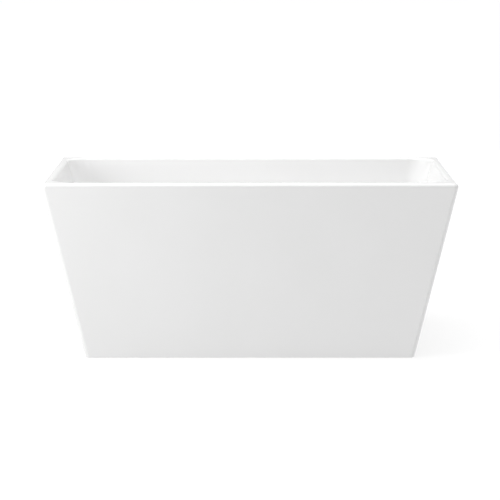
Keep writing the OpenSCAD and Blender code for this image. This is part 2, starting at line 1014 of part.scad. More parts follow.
// Hollow threaded bush that clamps the hopper to the basin wall
module overflow_bushing() {
    color("gainsboro")
        at_overflow()
            rotate_extrude()
                polygon([
                    [bushing_bore_d / 2, -bushing_len], [bushing_d / 2, -bushing_len],
                    [bushing_d / 2, 0], [bushing_flange_d / 2, 0],
                    [bushing_flange_d / 2, bushing_flange_t], [bushing_bore_d / 2, bushing_flange_t]
                ]);
}

module overflow_gasket() {
    color("dimgrey")
        at_overflow()
            tube(overflow_gasket_d, overflow_hole_d, -skirt_wall - overflow_gasket_t, overflow_gasket_t);
}

// Outline of the hopper from the side, shrunk all round by a wall
module hopper_outline(wall) {
    slope = tan(wall_tilt);
    face_at_mid = overflow_y - hopper_face;
    low = hopper_low + wall;
    high = hopper_top - wall;
    thin = wall / cos(wall_tilt);
    polygon([
        [hopper_out_y + wall, low], [face_at_mid - (low - overflow_z) * slope - thin, low],
        [face_at_mid - (high - overflow_z) * slope - thin, high], [hopper_out_y + wall, high]
    ]);
}

// Flat hopper between basin and skirt, which leads overflow water down to a round outlet
module overflow_hopper() {
    color("dimgrey")
        difference() {
            union() {
                rotate([90, 0, 90])
                    translate([0, 0, -hopper_w / 2])
                        linear_extrude(hopper_w)
                            hopper_outline(0);
                translate([0, outlet_y, hopper_low - outlet_h])
                    cylinder(d = pipe_socket_d, h = outlet_h + 1);
            }
            rotate([90, 0, 90])
                translate([0, 0, -hopper_w / 2 + hopper_wall])
                    linear_extrude(hopper_w - 2 * hopper_wall)
                        hopper_outline(hopper_wall);
            translate([0, outlet_y, hopper_low - outlet_h - 1])
                cylinder(d = pipe_d + 2 * pipe_fit, h = outlet_h - 3);
            translate([0, outlet_y, hopper_low - outlet_h])
                cylinder(d = pipe_d - 2 * pipe_wall, h = outlet_h + hopper_wall + 1);
            at_overflow()
                translate([0, 0, -bushing_len - 1])
                    cylinder(d = bushing_d, h = bushing_len);
        }
}

module overflow_pipe() {
    color("dimgrey")
        translate([0, outlet_y, 0])
            tube(pipe_d, pipe_d - 2 * pipe_wall, pipe_low, pipe_top - pipe_low);
}

module pipe_nut() {
    color("dimgrey")
        translate([0, outlet_y, 0])
            difference() {
                translate([0, 0, pipe_nut_low])
                    cylinder(d = pipe_nut_d, h = pipe_nut_h);
                translate([0, 0, hopper_low - outlet_h])
                    cylinder(d = pipe_socket_d, h = pipe_nut_h);
                translate([0, 0, pipe_nut_low - 1])
                    cylinder(d = pipe_d + 2 * pipe_fit, h = pipe_nut_h);
            }
}

// Quarter bend with a socket at each end
module overflow_elbow() {
    socket_hole = pipe_d + 2 * pipe_fit;
    stop_d = pipe_d - 2 * pipe_wall + 1.5;
    color("dimgrey")
        translate([0, outlet_y, branch_z])
            difference() {
                union() {
                    translate([0, 0, elbow_bend])
                        cylinder(d = pipe_socket_d, h = elbow_socket + elbow_stop);
                    translate([0, elbow_bend, 0])
                        rotate([-90, 0, 0])
                            cylinder(d = pipe_socket_d, h = elbow_socket + elbow_stop);
                    quarter_bend(pipe_d + 3, elbow_bend, 0);
                }
                quarter_bend(pipe_d - 2 * pipe_wall, elbow_bend, 1);
                translate([0, 0, elbow_bend + elbow_stop])
                    cylinder(d = socket_hole, h = elbow_socket + 1);
                translate([0, elbow_bend + elbow_stop, 0])
                    rotate([-90, 0, 0])
                        cylinder(d = socket_hole, h = elbow_socket + 1);
                translate([0, 0, elbow_bend])
                    cylinder(d = stop_d, h = elbow_stop + 1);
                translate([0, elbow_bend, 0])
                    rotate([-90, 0, 0])
                        cylinder(d = stop_d, h = elbow_stop + 1);
            }
}

// A round bar bent through a quarter turn from +Z to +Y, over degrees longer at each end
module quarter_bend(d, bend_r, over) {
    translate([0, bend_r, bend_r])
        rotate([0, 90, 0])
            rotate([0, 0, -90 - over])
                rotate_extrude(angle = 90 + 2 * over)
                    translate([bend_r, 0])
                        circle(d = d);
}

module branch_pipe() {
    color("dimgrey")
        translate([0, branch_start, branch_z])
            rotate([-90, 0, 0])
                tube(pipe_d, pipe_d - 2 * pipe_wall, 0, branch_end - branch_start);
}

basin_shell();
basin_laminate();
outer_skirt();
skirt_laminate();
rim_bond();
base_board();
rail_front();
rail_back();
cross_tube_left();
cross_tube_mid_left();
cross_tube_mid_right();
cross_tube_right();
tube_plugs();
rail_screws();
foot_weld_nuts();
foot_lock_nuts();
batten_front();
batten_back();
batten_left();
batten_right();
side_brackets();
end_brackets();
bracket_screws();
drain_flange();
drain_gasket_top();
drain_gasket_bottom();
drain_washer();
drain_locknut();
stopper_cartridge();
stopper_spring();
stopper_stem();
stopper_cap();
stopper_seal();
drain_tee();
tail_nut();
tail_washer();
tailpiece();
overflow_cover();
overflow_bushing();
overflow_gasket();
overflow_hopper();
overflow_pipe();
pipe_nut();
overflow_elbow();
branch_pipe();
foot_stud_front_left();
foot_stud_front_right();
foot_stud_back_left();
foot_stud_back_right();
foot_pad_front_left();
foot_pad_front_right();
foot_pad_back_left();
foot_pad_back_right();
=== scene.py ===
# %% [markdown]
# # A freestanding bath, modelled piece by piece
# This file gives every part a finish, and models again, by hand, the parts that are seen or
# handled: the glossy shell, the waste and overflow fittings, the steel frame and the feet.

# %% Load the bath's parts
import json
import math
import bpy
import bmesh
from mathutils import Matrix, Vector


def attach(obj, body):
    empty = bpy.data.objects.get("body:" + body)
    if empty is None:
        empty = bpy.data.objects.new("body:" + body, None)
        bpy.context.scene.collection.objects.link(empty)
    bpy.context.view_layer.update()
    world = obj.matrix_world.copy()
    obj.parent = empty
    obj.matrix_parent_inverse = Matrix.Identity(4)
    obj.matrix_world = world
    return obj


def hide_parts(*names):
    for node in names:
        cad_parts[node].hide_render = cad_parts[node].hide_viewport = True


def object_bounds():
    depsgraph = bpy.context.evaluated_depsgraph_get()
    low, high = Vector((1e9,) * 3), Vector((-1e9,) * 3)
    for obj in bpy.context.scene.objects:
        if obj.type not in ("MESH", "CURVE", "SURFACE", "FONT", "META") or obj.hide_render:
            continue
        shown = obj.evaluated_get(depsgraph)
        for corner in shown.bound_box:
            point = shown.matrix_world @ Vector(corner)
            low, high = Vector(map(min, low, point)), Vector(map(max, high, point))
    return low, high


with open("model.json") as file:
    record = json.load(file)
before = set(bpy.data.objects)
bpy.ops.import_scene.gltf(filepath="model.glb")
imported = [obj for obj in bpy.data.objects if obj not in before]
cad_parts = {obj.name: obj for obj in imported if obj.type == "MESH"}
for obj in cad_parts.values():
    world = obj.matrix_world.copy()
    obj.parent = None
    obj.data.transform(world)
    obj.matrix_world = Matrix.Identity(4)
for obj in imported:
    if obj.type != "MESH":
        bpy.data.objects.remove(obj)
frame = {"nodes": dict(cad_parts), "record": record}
cad_box = [list(corner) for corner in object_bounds()]
size = [high - low for low, high in zip(*cad_box)]
print("parts loaded:", len(frame["nodes"]), "size in metres:", [round(s, 4) for s in size])

# %% [markdown]
# ## Working by hand, without a window
# Blender's operators act on what is selected. Each helper below starts from nothing selected,
# picks faces, edges or corners by where they are, and then shapes only those. Lengths in this
# file are written in millimetres and turned to metres by MM.

# %% Helpers for picking and shaping
MM = 0.001


def only(piece):
    """Selects one piece and nothing else."""
    bpy.ops.object.select_all(action="DESELECT")
    piece.select_set(True)
    bpy.context.view_layer.objects.active = piece


def edit(piece, kind="FACE", chosen="DESELECT"):
    """Opens a piece in edit mode with nothing on it selected, or with all of it."""
    only(piece)
    bpy.ops.object.mode_set(mode="EDIT")
    bpy.ops.mesh.select_mode(type=kind)
    bpy.ops.mesh.select_all(action=chosen)


def done():
    """Leaves edit mode."""
    bpy.ops.object.mode_set(mode="OBJECT")


def pick(piece, kind, test):
    """Selects the faces, edges or corners of the open piece that pass a test, and counts them."""
    mesh = bmesh.from_edit_mesh(piece.data)
    bpy.ops.mesh.select_all(action="DESELECT")
    chosen = 0
    for part in {"FACE": mesh.faces, "EDGE": mesh.edges, "VERT": mesh.verts}[kind]:
        if test(part):
            part.select_set(True)
            chosen += 1
    mesh.select_flush_mode()
    bmesh.update_edit_mesh(piece.data)
    return chosen


def settle(piece, name):
    """Names a piece and moves its place, turn and size into its mesh."""
    only(piece)
    bpy.ops.object.transform_apply(location=True, rotation=True, scale=True)
    piece.name = name
    piece.data.name = name
    return piece


def finish_step(piece, kind, **settings):
    """Adds one modifier with its settings and applies it."""
    step = piece.modifiers.new(kind.lower(), kind)
    for key, value in settings.items():
        setattr(step, key, value)
    only(piece)
    bpy.ops.object.modifier_apply(modifier=step.name)


def smooth(piece, angle=32, weigh=True):
    """Shades a piece smooth up to an angle, and lets its large flat faces set the shading."""
    only(piece)
    bpy.ops.object.shade_smooth_by_angle(angle=math.radians(angle))
    if weigh:
        finish_step(piece, "WEIGHTED_NORMAL", keep_sharp=True, weight=60)


def tidy_mesh(piece, gap=0.00001):
    """Merges doubled corners and points every face outwards."""
    edit(piece, "VERT", "SELECT")
    bpy.ops.mesh.remove_doubles(threshold=gap)
    bpy.ops.mesh.normals_make_consistent(inside=False)
    done()


def cut(piece, tool, how="DIFFERENCE"):
    """Cuts a tool's shape out of a piece, and bins the tool."""
    finish_step(piece, "BOOLEAN", operation=how, solver="EXACT", object=tool)
    bpy.data.objects.remove(tool)


def joined(parts, name):
    """Joins several objects into one piece."""
    bpy.ops.object.select_all(action="DESELECT")
    for part in parts:
        part.select_set(True)
    bpy.context.view_layer.objects.active = parts[0]
    bpy.ops.object.join()
    return settle(parts[0], name)


def copied(piece, name, move=(0, 0, 0), turn=(0, 0, 0)):
    """Copies a piece with its own mesh, turns the copy about the origin and moves it."""
    twin = piece.copy()
    twin.data = piece.data.copy()
    bpy.context.collection.objects.link(twin)
    twin.rotation_euler = [math.radians(a) for a in turn]
    twin.location = [m * MM for m in move]
    return settle(twin, name)


def block(x, y, z, name="block"):
    """A box between two values on each axis, in millimetres."""
    bpy.ops.object.select_all(action="DESELECT")
    bpy.ops.mesh.primitive_cube_add(
        size=1,
        location=[MM * (low + high) / 2 for low, high in (x, y, z)],
        scale=[MM * (high - low) for low, high in (x, y, z)],
    )
    return settle(bpy.context.active_object, name)


def rod(d, low, high, centre=(0, 0), sides=48, top_d=None, name="rod"):
    """An upright cylinder or cone, in millimetres."""
    bpy.ops.object.select_all(action="DESELECT")
    bpy.ops.mesh.primitive_cone_add(
        vertices=sides,
        radius1=MM * d / 2,
        radius2=MM * (d if top_d is None else top_d) / 2,
        depth=MM * (high - low),
        location=(MM * centre[0], MM * centre[1], MM * (low + high) / 2),
    )
    return settle(bpy.context.active_object, name)


def outline(points, name):
    """A line of corners in the XZ plane, drawn by extruding one corner from point to point."""
    bpy.ops.object.select_all(action="DESELECT")
    bpy.ops.mesh.primitive_plane_add(size=MM, location=(MM * points[0][0], 0, MM * points[0][1]))
    line = settle(bpy.context.active_object, name)
    edit(line, "VERT", "SELECT")
    bpy.ops.mesh.merge(type="CENTER")
    for (r0, z0), (r1, z1) in zip(points, points[1:]):
        step = (MM * (r1 - r0), 0, MM * (z1 - z0))
        bpy.ops.mesh.extrude_region_move(TRANSFORM_OT_translate={"value": step})
    done()
    return line


def turned(points, name, sides=64, closed=True):
    """A piece turned on a lathe about Z, from an outline of (radius, height) in millimetres."""
    ring = outline(points + points[:1] if closed else points, name)
    edit(ring, "VERT", "SELECT")
    bpy.ops.mesh.spin(steps=sides, angle=2 * math.pi, center=(0, 0, 0), axis=(0, 0, 1))
    done()
    tidy_mesh(ring)
    return ring


print("helpers ready")

# %% [markdown]
# ## The glossy shell
# The real bath is two pressed acrylic sheets: a basin whose rim turns out and down, and a skirt
# whose top edge meets that rim without a step. Both are cut here from one outer form, so the
# joint between them stays flush. The form starts as a cube, its underside is drawn in, and its
# edges are rounded by bevel weights, because each pair of faces meets at its own angle and
# needs its own width for one even radius.

# %% Sizes of the shell
RIM_Z = 605
FOOT_Z = 2
SEAM_Z = 571
WALL = 5
TOP_HALF = (703.93, 350.47)
FOOT_HALF = (562.0, 332.0)


def drawn_in(piece, low_z, top_half, low_half):
    """Draws in the underside of a block, so that all four sides lean."""
    edit(piece)
    pick(piece, "FACE", lambda f: f.normal.z < -0.9)
    bpy.ops.transform.resize(
        value=(low_half[0] / top_half[0], low_half[1] / top_half[1], 1),
        center_override=(0, 0, MM * low_z),
    )
    done()


def round_edges(piece, widths, sides):
    """Rounds edges by weight: each entry of widths is a test for an edge and its width."""
    widest = max(width for test, width in widths)
    edit(piece, "EDGE")
    for test, width in widths:
        count = pick(piece, "EDGE", test)
        bpy.ops.transform.edge_bevelweight(value=width / widest)
        print("  edges to round:", count, "width", width)
    done()
    finish_step(piece, "BEVEL", limit_method="WEIGHT", width=MM * widest, segments=sides,
                loop_slide=False, use_clamp_overlap=False)


def run(edge):
    """How far an edge goes along X, Y and Z."""
    step = edge.verts[1].co - edge.verts[0].co
    return abs(step.x), abs(step.y), abs(step.z)


def upright(edge):
    return run(edge)[2] > 0.2


def along(axis, z):
    """A test for the edges at a height that run along X, which is axis 0, or along Y, axis 1."""
    return lambda e: (run(e)[axis] > 0.2 and abs(e.verts[0].co.z - MM * z) < 0.001
                      and not upright(e))


# %% Outer form
form = block((-TOP_HALF[0], TOP_HALF[0]), (-TOP_HALF[1], TOP_HALF[1]), (FOOT_Z, RIM_Z), "form")
drawn_in(form, FOOT_Z, TOP_HALF, FOOT_HALF)
round_edges(form, [
    (upright, 14.9),
    (along(1, RIM_Z), 18.94),
    (along(0, RIM_Z), 15.47),
], 8)
print("outer form:", [round(v * 1000, 1) for v in form.dimensions])

# %% Skirt
skirt = copied(form, "skirt_panel")
edit(skirt, "FACE", "SELECT")
bpy.ops.mesh.bisect(plane_co=(0, 0, MM * SEAM_Z), plane_no=(0, 0, 1), clear_outer=True)
pick(skirt, "FACE", lambda f: abs(f.normal.z) > 0.99)
bpy.ops.mesh.delete(type="FACE")
done()
finish_step(skirt, "SOLIDIFY", thickness=MM * WALL, offset=-1, use_even_offset=True)
edit(skirt, "EDGE")
pick(skirt, "EDGE", lambda e: e.verts[0].co.z < 0.0021 and e.verts[1].co.z < 0.0021
     and not any(abs(f.normal.z) < 0.5 and f.normal.dot(f.calc_center_median()) < 0
                 for f in e.link_faces) and any(abs(f.normal.z) > 0.9 for f in e.link_faces))
bpy.ops.mesh.bevel(offset=MM * 0.8, segments=2, affect="EDGES")
done()
smooth(skirt)
print("skirt:", len(skirt.data.polygons), "faces")

# %% [markdown]
# ## The basin
# The hollow is a second, smaller form with wide soft edges, taken out of the first. The round
# lip at the mouth is bevelled after the cut, so it runs evenly round the corners too. Only then
# is the skin given its thickness, which goes behind the surface that is seen and touched.

# %% Basin hollow
MOUTH_HALF = (675.66, 323.54)
MOUTH_Z = 625
FLOOR_Z = 165
FLOOR_HALF = (545.5, 242.06)
LIP_LIMIT = (670.2, 320.2)
SEAT_Z, SEAT_R, DISH_R, DISH_TOP_D = FLOOR_Z - 3, 39, 58, 128.67
hollow = block((-MOUTH_HALF[0], MOUTH_HALF[0]), (-MOUTH_HALF[1], MOUTH_HALF[1]),
               (FLOOR_Z, MOUTH_Z), "hollow")
drawn_in(hollow, FLOOR_Z, MOUTH_HALF, FLOOR_HALF)
round_edges(hollow, [
    (upright, 76.29),
    (along(1, FLOOR_Z), 60.5),
    (along(0, FLOOR_Z), 67.08),
], 16)

# %% Basin skin
basin = copied(form, "basin_moulding")
cut(basin, hollow)
cut(basin, rod(2 * SEAT_R, SEAT_Z, FLOOR_Z + 1, sides=96, top_d=DISH_TOP_D))
edit(basin)
pick(basin, "FACE", lambda f: f.normal.z < -0.9)
bpy.ops.mesh.delete(type="FACE")
pick(basin, "FACE", lambda f: f.normal.x * f.calc_center_median().x
     + f.normal.y * f.calc_center_median().y > 0.0001)
bpy.ops.mesh.bisect(plane_co=(0, 0, MM * SEAM_Z), plane_no=(0, 0, 1), clear_inner=True)
done()


def on_mouth(edge):
    """True for an edge of the loop where the basin opens in the flat top of the rim."""
    return all(abs(v.co.z - MM * RIM_Z) < 0.00001 and abs(v.co.x) < MM * LIP_LIMIT[0]
               and abs(v.co.y) < MM * LIP_LIMIT[1] for v in edge.verts)


def on_ring(edge, r, z):
    """True for an edge of a round loop about Z."""
    return all(abs(v.co.z - MM * z) < 0.00002 and abs(v.co.xy.length - MM * r) < 0.0003
               for v in edge.verts)


edit(basin, "EDGE")
print("mouth edges:", pick(basin, "EDGE", on_mouth))
bpy.ops.mesh.bevel(offset=MM * 8, segments=6, affect="EDGES")
print("dish edges:", pick(basin, "EDGE", lambda e: on_ring(e, DISH_R, FLOOR_Z)))
bpy.ops.mesh.bevel(offset=MM * 6, segments=4, affect="EDGES")
print("seat edges:", pick(basin, "EDGE", lambda e: on_ring(e, SEAT_R, SEAT_Z)))
bpy.ops.mesh.bevel(offset=MM * 2, segments=3, affect="EDGES")
done()
finish_step(basin, "SOLIDIFY", thickness=MM * WALL, offset=-1, use_even_offset=True)
print("basin:", len(basin.data.polygons), "faces")

# %% Holes for the waste and the overflow
WALL_TILT = math.degrees(math.atan(145 / 360) - math.asin(80 / math.hypot(145, 360)))
OVERFLOW_Z = 485
WASTE_HOLE, OVERFLOW_HOLE = 52, 42
OVERFLOW_Y = -(320 - (RIM_Z - OVERFLOW_Z) * math.tan(math.radians(WALL_TILT)))


def at_overflow(piece, name):
    """Moves a piece made upright on Z to the overflow, square to the sloping wall."""
    piece.rotation_euler = (math.radians(WALL_TILT - 90), 0, 0)
    piece.location = (0, MM * OVERFLOW_Y, MM * OVERFLOW_Z)
    return settle(piece, name)


cut(basin, rod(WASTE_HOLE, FLOOR_Z - 15, FLOOR_Z + 10, sides=96))
cut(basin, at_overflow(rod(OVERFLOW_HOLE, -15, 15, sides=64), "overflow_drill"))
smooth(basin)
bpy.data.objects.remove(form)
for piece, node in ((basin, "basin_shell"), (skirt, "outer_skirt")):
    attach(piece, "tub")
    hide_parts(node)
    print(piece.name, "mm:", [round(v * 1000, 1) for v in piece.dimensions])

# %% [markdown]
# ## Finishes
# No part of a real bath is one flat colour. Each finish below mixes two close colours, lets the
# gloss wander a little, and adds relief at the scale the real surface has it. Effects that
# several finishes share are node groups, built once. They read Object coordinates, which stay
# with the piece when it moves.

# %% Helpers for finishes
SOCKETS = {"vector": "NodeSocketVector", "value": "NodeSocketFloat", "colour": "NodeSocketColor"}


def effect(name, inputs, outputs):
    """Starts a shared effect and gives its tree, its inputs and its outputs."""
    tree = bpy.data.node_groups.new(name, "ShaderNodeTree")
    for title, kind, start in inputs:
        socket = tree.interface.new_socket(title, in_out="INPUT", socket_type=SOCKETS[kind])
        socket.default_value = start
    for title, kind in outputs:
        tree.interface.new_socket(title, in_out="OUTPUT", socket_type=SOCKETS[kind])
    return tree, tree.nodes.new("NodeGroupInput").outputs, tree.nodes.new("NodeGroupOutput").inputs


def put(tree, kind, inputs, **settings):
    """Adds a node, changes its settings, and links or sets each named input."""
    made = tree.nodes.new("ShaderNode" + kind)
    for key, value in settings.items():
        setattr(made, key, value)
    for title, value in inputs.items():
        if isinstance(value, bpy.types.NodeSocket):
            tree.links.new(value, made.inputs[title])
        else:
            made.inputs[title].default_value = value
    return made


def blend_colour(tree, mask, first, second):
    """Mixes two colours by a mask."""
    made = put(tree, "Mix", {0: mask, 6: first, 7: second}, data_type="RGBA")
    return made.outputs[2]


def spread(tree, value, low, high, to_low=0.0, to_high=1.0):
    """Stretches a value from one range to another and holds it there."""
    made = put(tree, "MapRange", {"Value": value, "From Min": low, "From Max": high,
                                  "To Min": to_low, "To Max": to_high})
    return made.outputs["Result"]


def maths(tree, how, first, second=0.0):
    """Adds, multiplies or otherwise combines two values."""
    return put(tree, "Math", {0: first, 1: second}, operation=how).outputs[0]


def stretched(tree, place, by):
    """Stretches a place by a vector."""
    return put(tree, "VectorMath", {0: place, 1: by}, operation="MULTIPLY").outputs[0]


# %% Effect: two close colours in soft patches
tree, given, wanted = effect(
    "soft_patches",
    [("Place", "vector", (0, 0, 0)), ("Scale", "value", 20.0),
     ("First", "colour", (1, 1, 1, 1)), ("Second", "colour", (0, 0, 0, 1))],
    [("Colour", "colour"), ("Mask", "value")],
)
patches = put(tree, "TexNoise", {"Vector": given["Place"], "Scale": given["Scale"], "Detail": 4.0})
mask = spread(tree, patches.outputs["Fac"], 0.35, 0.65)
tree.links.new(blend_colour(tree, mask, given["First"], given["Second"]), wanted["Colour"])
tree.links.new(mask, wanted["Mask"])
soft_patches = tree

# %% Effect: gloss that wanders, with wipe marks
tree, given, wanted = effect(
    "wiped_gloss",
    [("Place", "vector", (0, 0, 0)), ("Scale", "value", 8.0), ("Low", "value", 0.1),
     ("High", "value", 0.2)],
    [("Roughness", "value"), ("Ripple", "value")],
)
broad = put(tree, "TexNoise", {"Vector": given["Place"], "Scale": given["Scale"], "Detail": 2.0})
wide = stretched(tree, given["Place"], (1.0, 1.0, 5.0))
finer = maths(tree, "MULTIPLY", given["Scale"], 6.0)
marks = put(tree, "TexNoise", {"Vector": wide, "Scale": finer, "Detail": 6.0})
share = maths(tree, "MULTIPLY", spread(tree, broad.outputs["Fac"], 0.3, 0.7),
              spread(tree, marks.outputs["Fac"], 0.3, 0.75))
gap = maths(tree, "SUBTRACT", given["High"], given["Low"])
rough = maths(tree, "MULTIPLY_ADD", share, gap)
tree.links.new(given["Low"], rough.node.inputs[2])
tree.links.new(rough, wanted["Roughness"])
tree.links.new(broad.outputs["Fac"], wanted["Ripple"])
wiped_gloss = tree

# %% Effect: fine grain, drawn out along one way
tree, given, wanted = effect(
    "drawn_grain",
    [("Place", "vector", (0, 0, 0)), ("Stretch", "vector", (1, 1, 1)), ("Scale", "value", 900.0)],
    [("Height", "value")],
)
drawn = stretched(tree, given["Place"], given["Stretch"])
grain = put(tree, "TexNoise", {"Vector": drawn, "Scale": given["Scale"], "Detail": 5.0})
tree.links.new(grain.outputs["Fac"], wanted["Height"])
drawn_grain = tree

# %% Effect: wood, with rings that run along one way
tree, given, wanted = effect(
    "wood_figure",
    [("Place", "vector", (0, 0, 0)), ("Rings", "value", 120.0),
     ("Early", "colour", (1, 1, 1, 1)), ("Late", "colour", (0, 0, 0, 1))],
    [("Colour", "colour"), ("Height", "value")],
)
rings = put(tree, "TexWave", {"Vector": stretched(tree, given["Place"], (0.06, 1.0, 1.0)),
                              "Scale": given["Rings"], "Distortion": 7.0, "Detail": 3.0,
                              "Detail Scale": 0.6}, wave_type="RINGS", rings_direction="X")
fibre = put(tree, "TexNoise", {"Vector": stretched(tree, given["Place"], (12.0, 260.0, 260.0)),
                               "Scale": 6.0, "Detail": 6.0})
late = maths(tree, "MULTIPLY", maths(tree, "POWER", rings.outputs["Fac"], 2.5), 0.75)
dark = maths(tree, "ADD", late, spread(tree, fibre.outputs["Fac"], 0.45, 0.8, 0.0, 0.5))
tree.links.new(blend_colour(tree, dark, given["Early"], given["Late"]), wanted["Colour"])
tree.links.new(fibre.outputs["Fac"], wanted["Height"])
wood_figure = tree
print("shared effects:", [t.name for t in bpy.data.node_groups])


# %% Start and end of a finish
finishes = {}


def start_finish(name, **fixed):
    """Opens a finish and gives its tree, its shader and the place on the piece."""
    made = bpy.data.materials.new(name)
    finishes[name] = made
    made.use_nodes = True
    tree = made.node_tree
    shader = tree.nodes["Principled BSDF"]
    for title, value in fixed.items():
        shader.inputs[title.replace("_", " ")].default_value = value
    place = tree.nodes.new("ShaderNodeTexCoord").outputs["Object"]
    return tree, shader, place


def use(tree, shared, **inputs):
    """Places a shared effect in a finish with its own values."""
    return put(tree, "Group", inputs, node_tree=shared).outputs


def rgb(r, g, b):
    return (r, g, b, 1.0)


def end_finish(tree, shader, colour, roughness, height, depth):
    """Feeds the shader, with relief as deep as the real surface in millimetres."""
    bump = put(tree, "Bump", {"Height": height, "Distance": MM * depth, "Strength": 1.0})
    for title, source in (("Base Color", colour), ("Roughness", roughness),
                          ("Normal", bump.outputs["Normal"])):
        tree.links.new(source, shader.inputs[title])


def plain_finish(name, scale, first, second, low, high, grain, depth, **fixed):
    """A finish of two close colours, wandering gloss and fine relief."""
    tree, shader, place = start_finish(name, **fixed)
    patches = use(tree, soft_patches, Place=place, Scale=scale, First=rgb(*first),
                  Second=rgb(*second))
    gloss = use(tree, wiped_gloss, Place=place, Scale=scale * 0.7, Low=low, High=high)
    fine = use(tree, drawn_grain, Place=place, Stretch=grain[1:], Scale=grain[0])
    end_finish(tree, shader, patches["Colour"], gloss["Roughness"], fine["Height"], depth)


# %% [markdown]
# ## Acrylic
# Pressed acrylic is almost a mirror, but the sheet was drawn hot over a mould, so reflections
# bend a little over a hand's width. The relief is therefore very broad and very shallow, and
# the gloss only wanders where the surface has been wiped.

# %% White acrylic
tree, shader, place = start_finish("white_acrylic", IOR=1.49, Coat_Weight=0.35,
                                   Coat_Roughness=0.04)
patches = use(tree, soft_patches, Place=place, Scale=5.0, First=rgb(0.825, 0.825, 0.823),
              Second=rgb(0.835, 0.835, 0.834))
gloss = use(tree, wiped_gloss, Place=place, Scale=5.0, Low=0.10, High=0.17)
end_finish(tree, shader, patches["Colour"], gloss["Roughness"], gloss["Ripple"], 0.35)

# %% [markdown]
# ## Behind the acrylic
# The back of each sheet is sprayed with chopped glass strands in resin and rolled down. The
# strands lie every way, so three long thin grains are laid over each other at three angles.

# %% Glass-fibre laminate
tree, shader, place = start_finish("glass_fibre", Roughness=0.5, IOR=1.52)
strands = None
for turn in (0.3, 1.35, 2.4):
    lay = put(tree, "Mapping", {"Vector": place, "Rotation": (turn, turn * 0.7, turn * 1.9)})
    strand = use(tree, drawn_grain, Place=lay.outputs[0], Stretch=(1.0, 14.0, 14.0), Scale=45.0)
    thin = spread(tree, strand["Height"], 0.54, 0.66)
    strands = thin if strands is None else maths(tree, "MAXIMUM", strands, thin)
patches = use(tree, soft_patches, Place=place, Scale=14.0, First=rgb(0.60, 0.55, 0.38),
              Second=rgb(0.70, 0.66, 0.50))
pale = blend_colour(tree, maths(tree, "MULTIPLY", strands, 0.6), patches["Colour"],
                    rgb(0.86, 0.84, 0.74))
end_finish(tree, shader, pale, spread(tree, strands, 0.0, 1.0, 0.32, 0.6), strands, 0.5)

# %% Resin paste
plain_finish("bonding_paste", 30.0, (0.62, 0.53, 0.38), (0.50, 0.42, 0.29), 0.45, 0.75,
             (120.0, 1, 1, 1), 0.6)

# %% [markdown]
# ## Timber
# The battens are sawn pine, with rings along their length. The board is plywood: its faces show
# veneer, and its edges show the plies as thin stripes, so the height decides the colour there.

# %% Pine, along X and along Y
SAWN = (0.2, 0.8, 0.5, 0.72)
for name, turn in (("softwood", 0.0), ("softwood_cross", math.pi / 2)):
    tree, shader, place = start_finish(name, Roughness=0.62)
    lay = put(tree, "Mapping", {"Vector": place, "Rotation": (0, 0, turn),
                                "Location": (0.0, 0.31, 0.07)})
    figure = use(tree, wood_figure, Place=lay.outputs[0], Rings=75.0,
                 Early=rgb(0.74, 0.52, 0.28), Late=rgb(0.45, 0.26, 0.10))
    end_finish(tree, shader, figure["Colour"], spread(tree, figure["Height"], *SAWN),
               figure["Height"], 0.25)

# %% Plywood
tree, shader, place = start_finish("plywood", Roughness=0.6)
figure = use(tree, wood_figure, Place=place, Rings=18.0, Early=rgb(0.70, 0.50, 0.29),
             Late=rgb(0.50, 0.32, 0.16))
level = put(tree, "SeparateXYZ", {"Vector": place}).outputs["Z"]
ply = maths(tree, "PINGPONG", level, MM * 1.4)
stripe = spread(tree, ply, MM * 0.5, MM * 0.9)
edge_colour = blend_colour(tree, stripe, rgb(0.66, 0.46, 0.26), rgb(0.34, 0.20, 0.10))
facing = put(tree, "SeparateXYZ", {"Vector": tree.nodes["Texture Coordinate"].outputs["Normal"]})
on_face = spread(tree, maths(tree, "ABSOLUTE", facing.outputs["Z"]), 0.4, 0.6)
end_finish(tree, shader, blend_colour(tree, on_face, edge_colour, figure["Colour"]),
           spread(tree, figure["Height"], *SAWN), figure["Height"], 0.15)

# %% [markdown]
# ## Metals
# Hot-dip galvanising freezes into flat crystals, each turned its own way, so each shines a
# little differently. Zinc plate, chrome and brass are smooth, and differ in colour and in how
# fine their working marks are.

# %% Galvanised steel
tree, shader, place = start_finish("galvanised_steel", Metallic=1.0)
warp = put(tree, "TexNoise", {"Vector": place, "Scale": 60.0, "Detail": 3.0})
bent = put(tree, "VectorMath", {0: warp.outputs["Color"], 1: (0.008, 0.008, 0.008), 2: place},
           operation="MULTIPLY_ADD")
crystals = put(tree, "TexVoronoi", {"Vector": bent.outputs[0], "Scale": 110.0})
tone = put(tree, "SeparateColor", {"Color": crystals.outputs["Color"]})
zinc = blend_colour(tree, tone.outputs["Red"], rgb(0.48, 0.50, 0.53), rgb(0.70, 0.72, 0.74))
frost = use(tree, soft_patches, Place=place, Scale=25.0, First=rgb(0.80, 0.80, 0.80),
            Second=rgb(1.0, 1.0, 1.0))
dulled = put(tree, "Mix", {0: 1.0, 6: zinc, 7: frost["Colour"]}, data_type="RGBA",
             blend_type="MULTIPLY")
end_finish(tree, shader, dulled.outputs[2],
           spread(tree, tone.outputs["Green"], 0.0, 1.0, 0.28, 0.52),
           crystals.outputs["Distance"], 0.05)

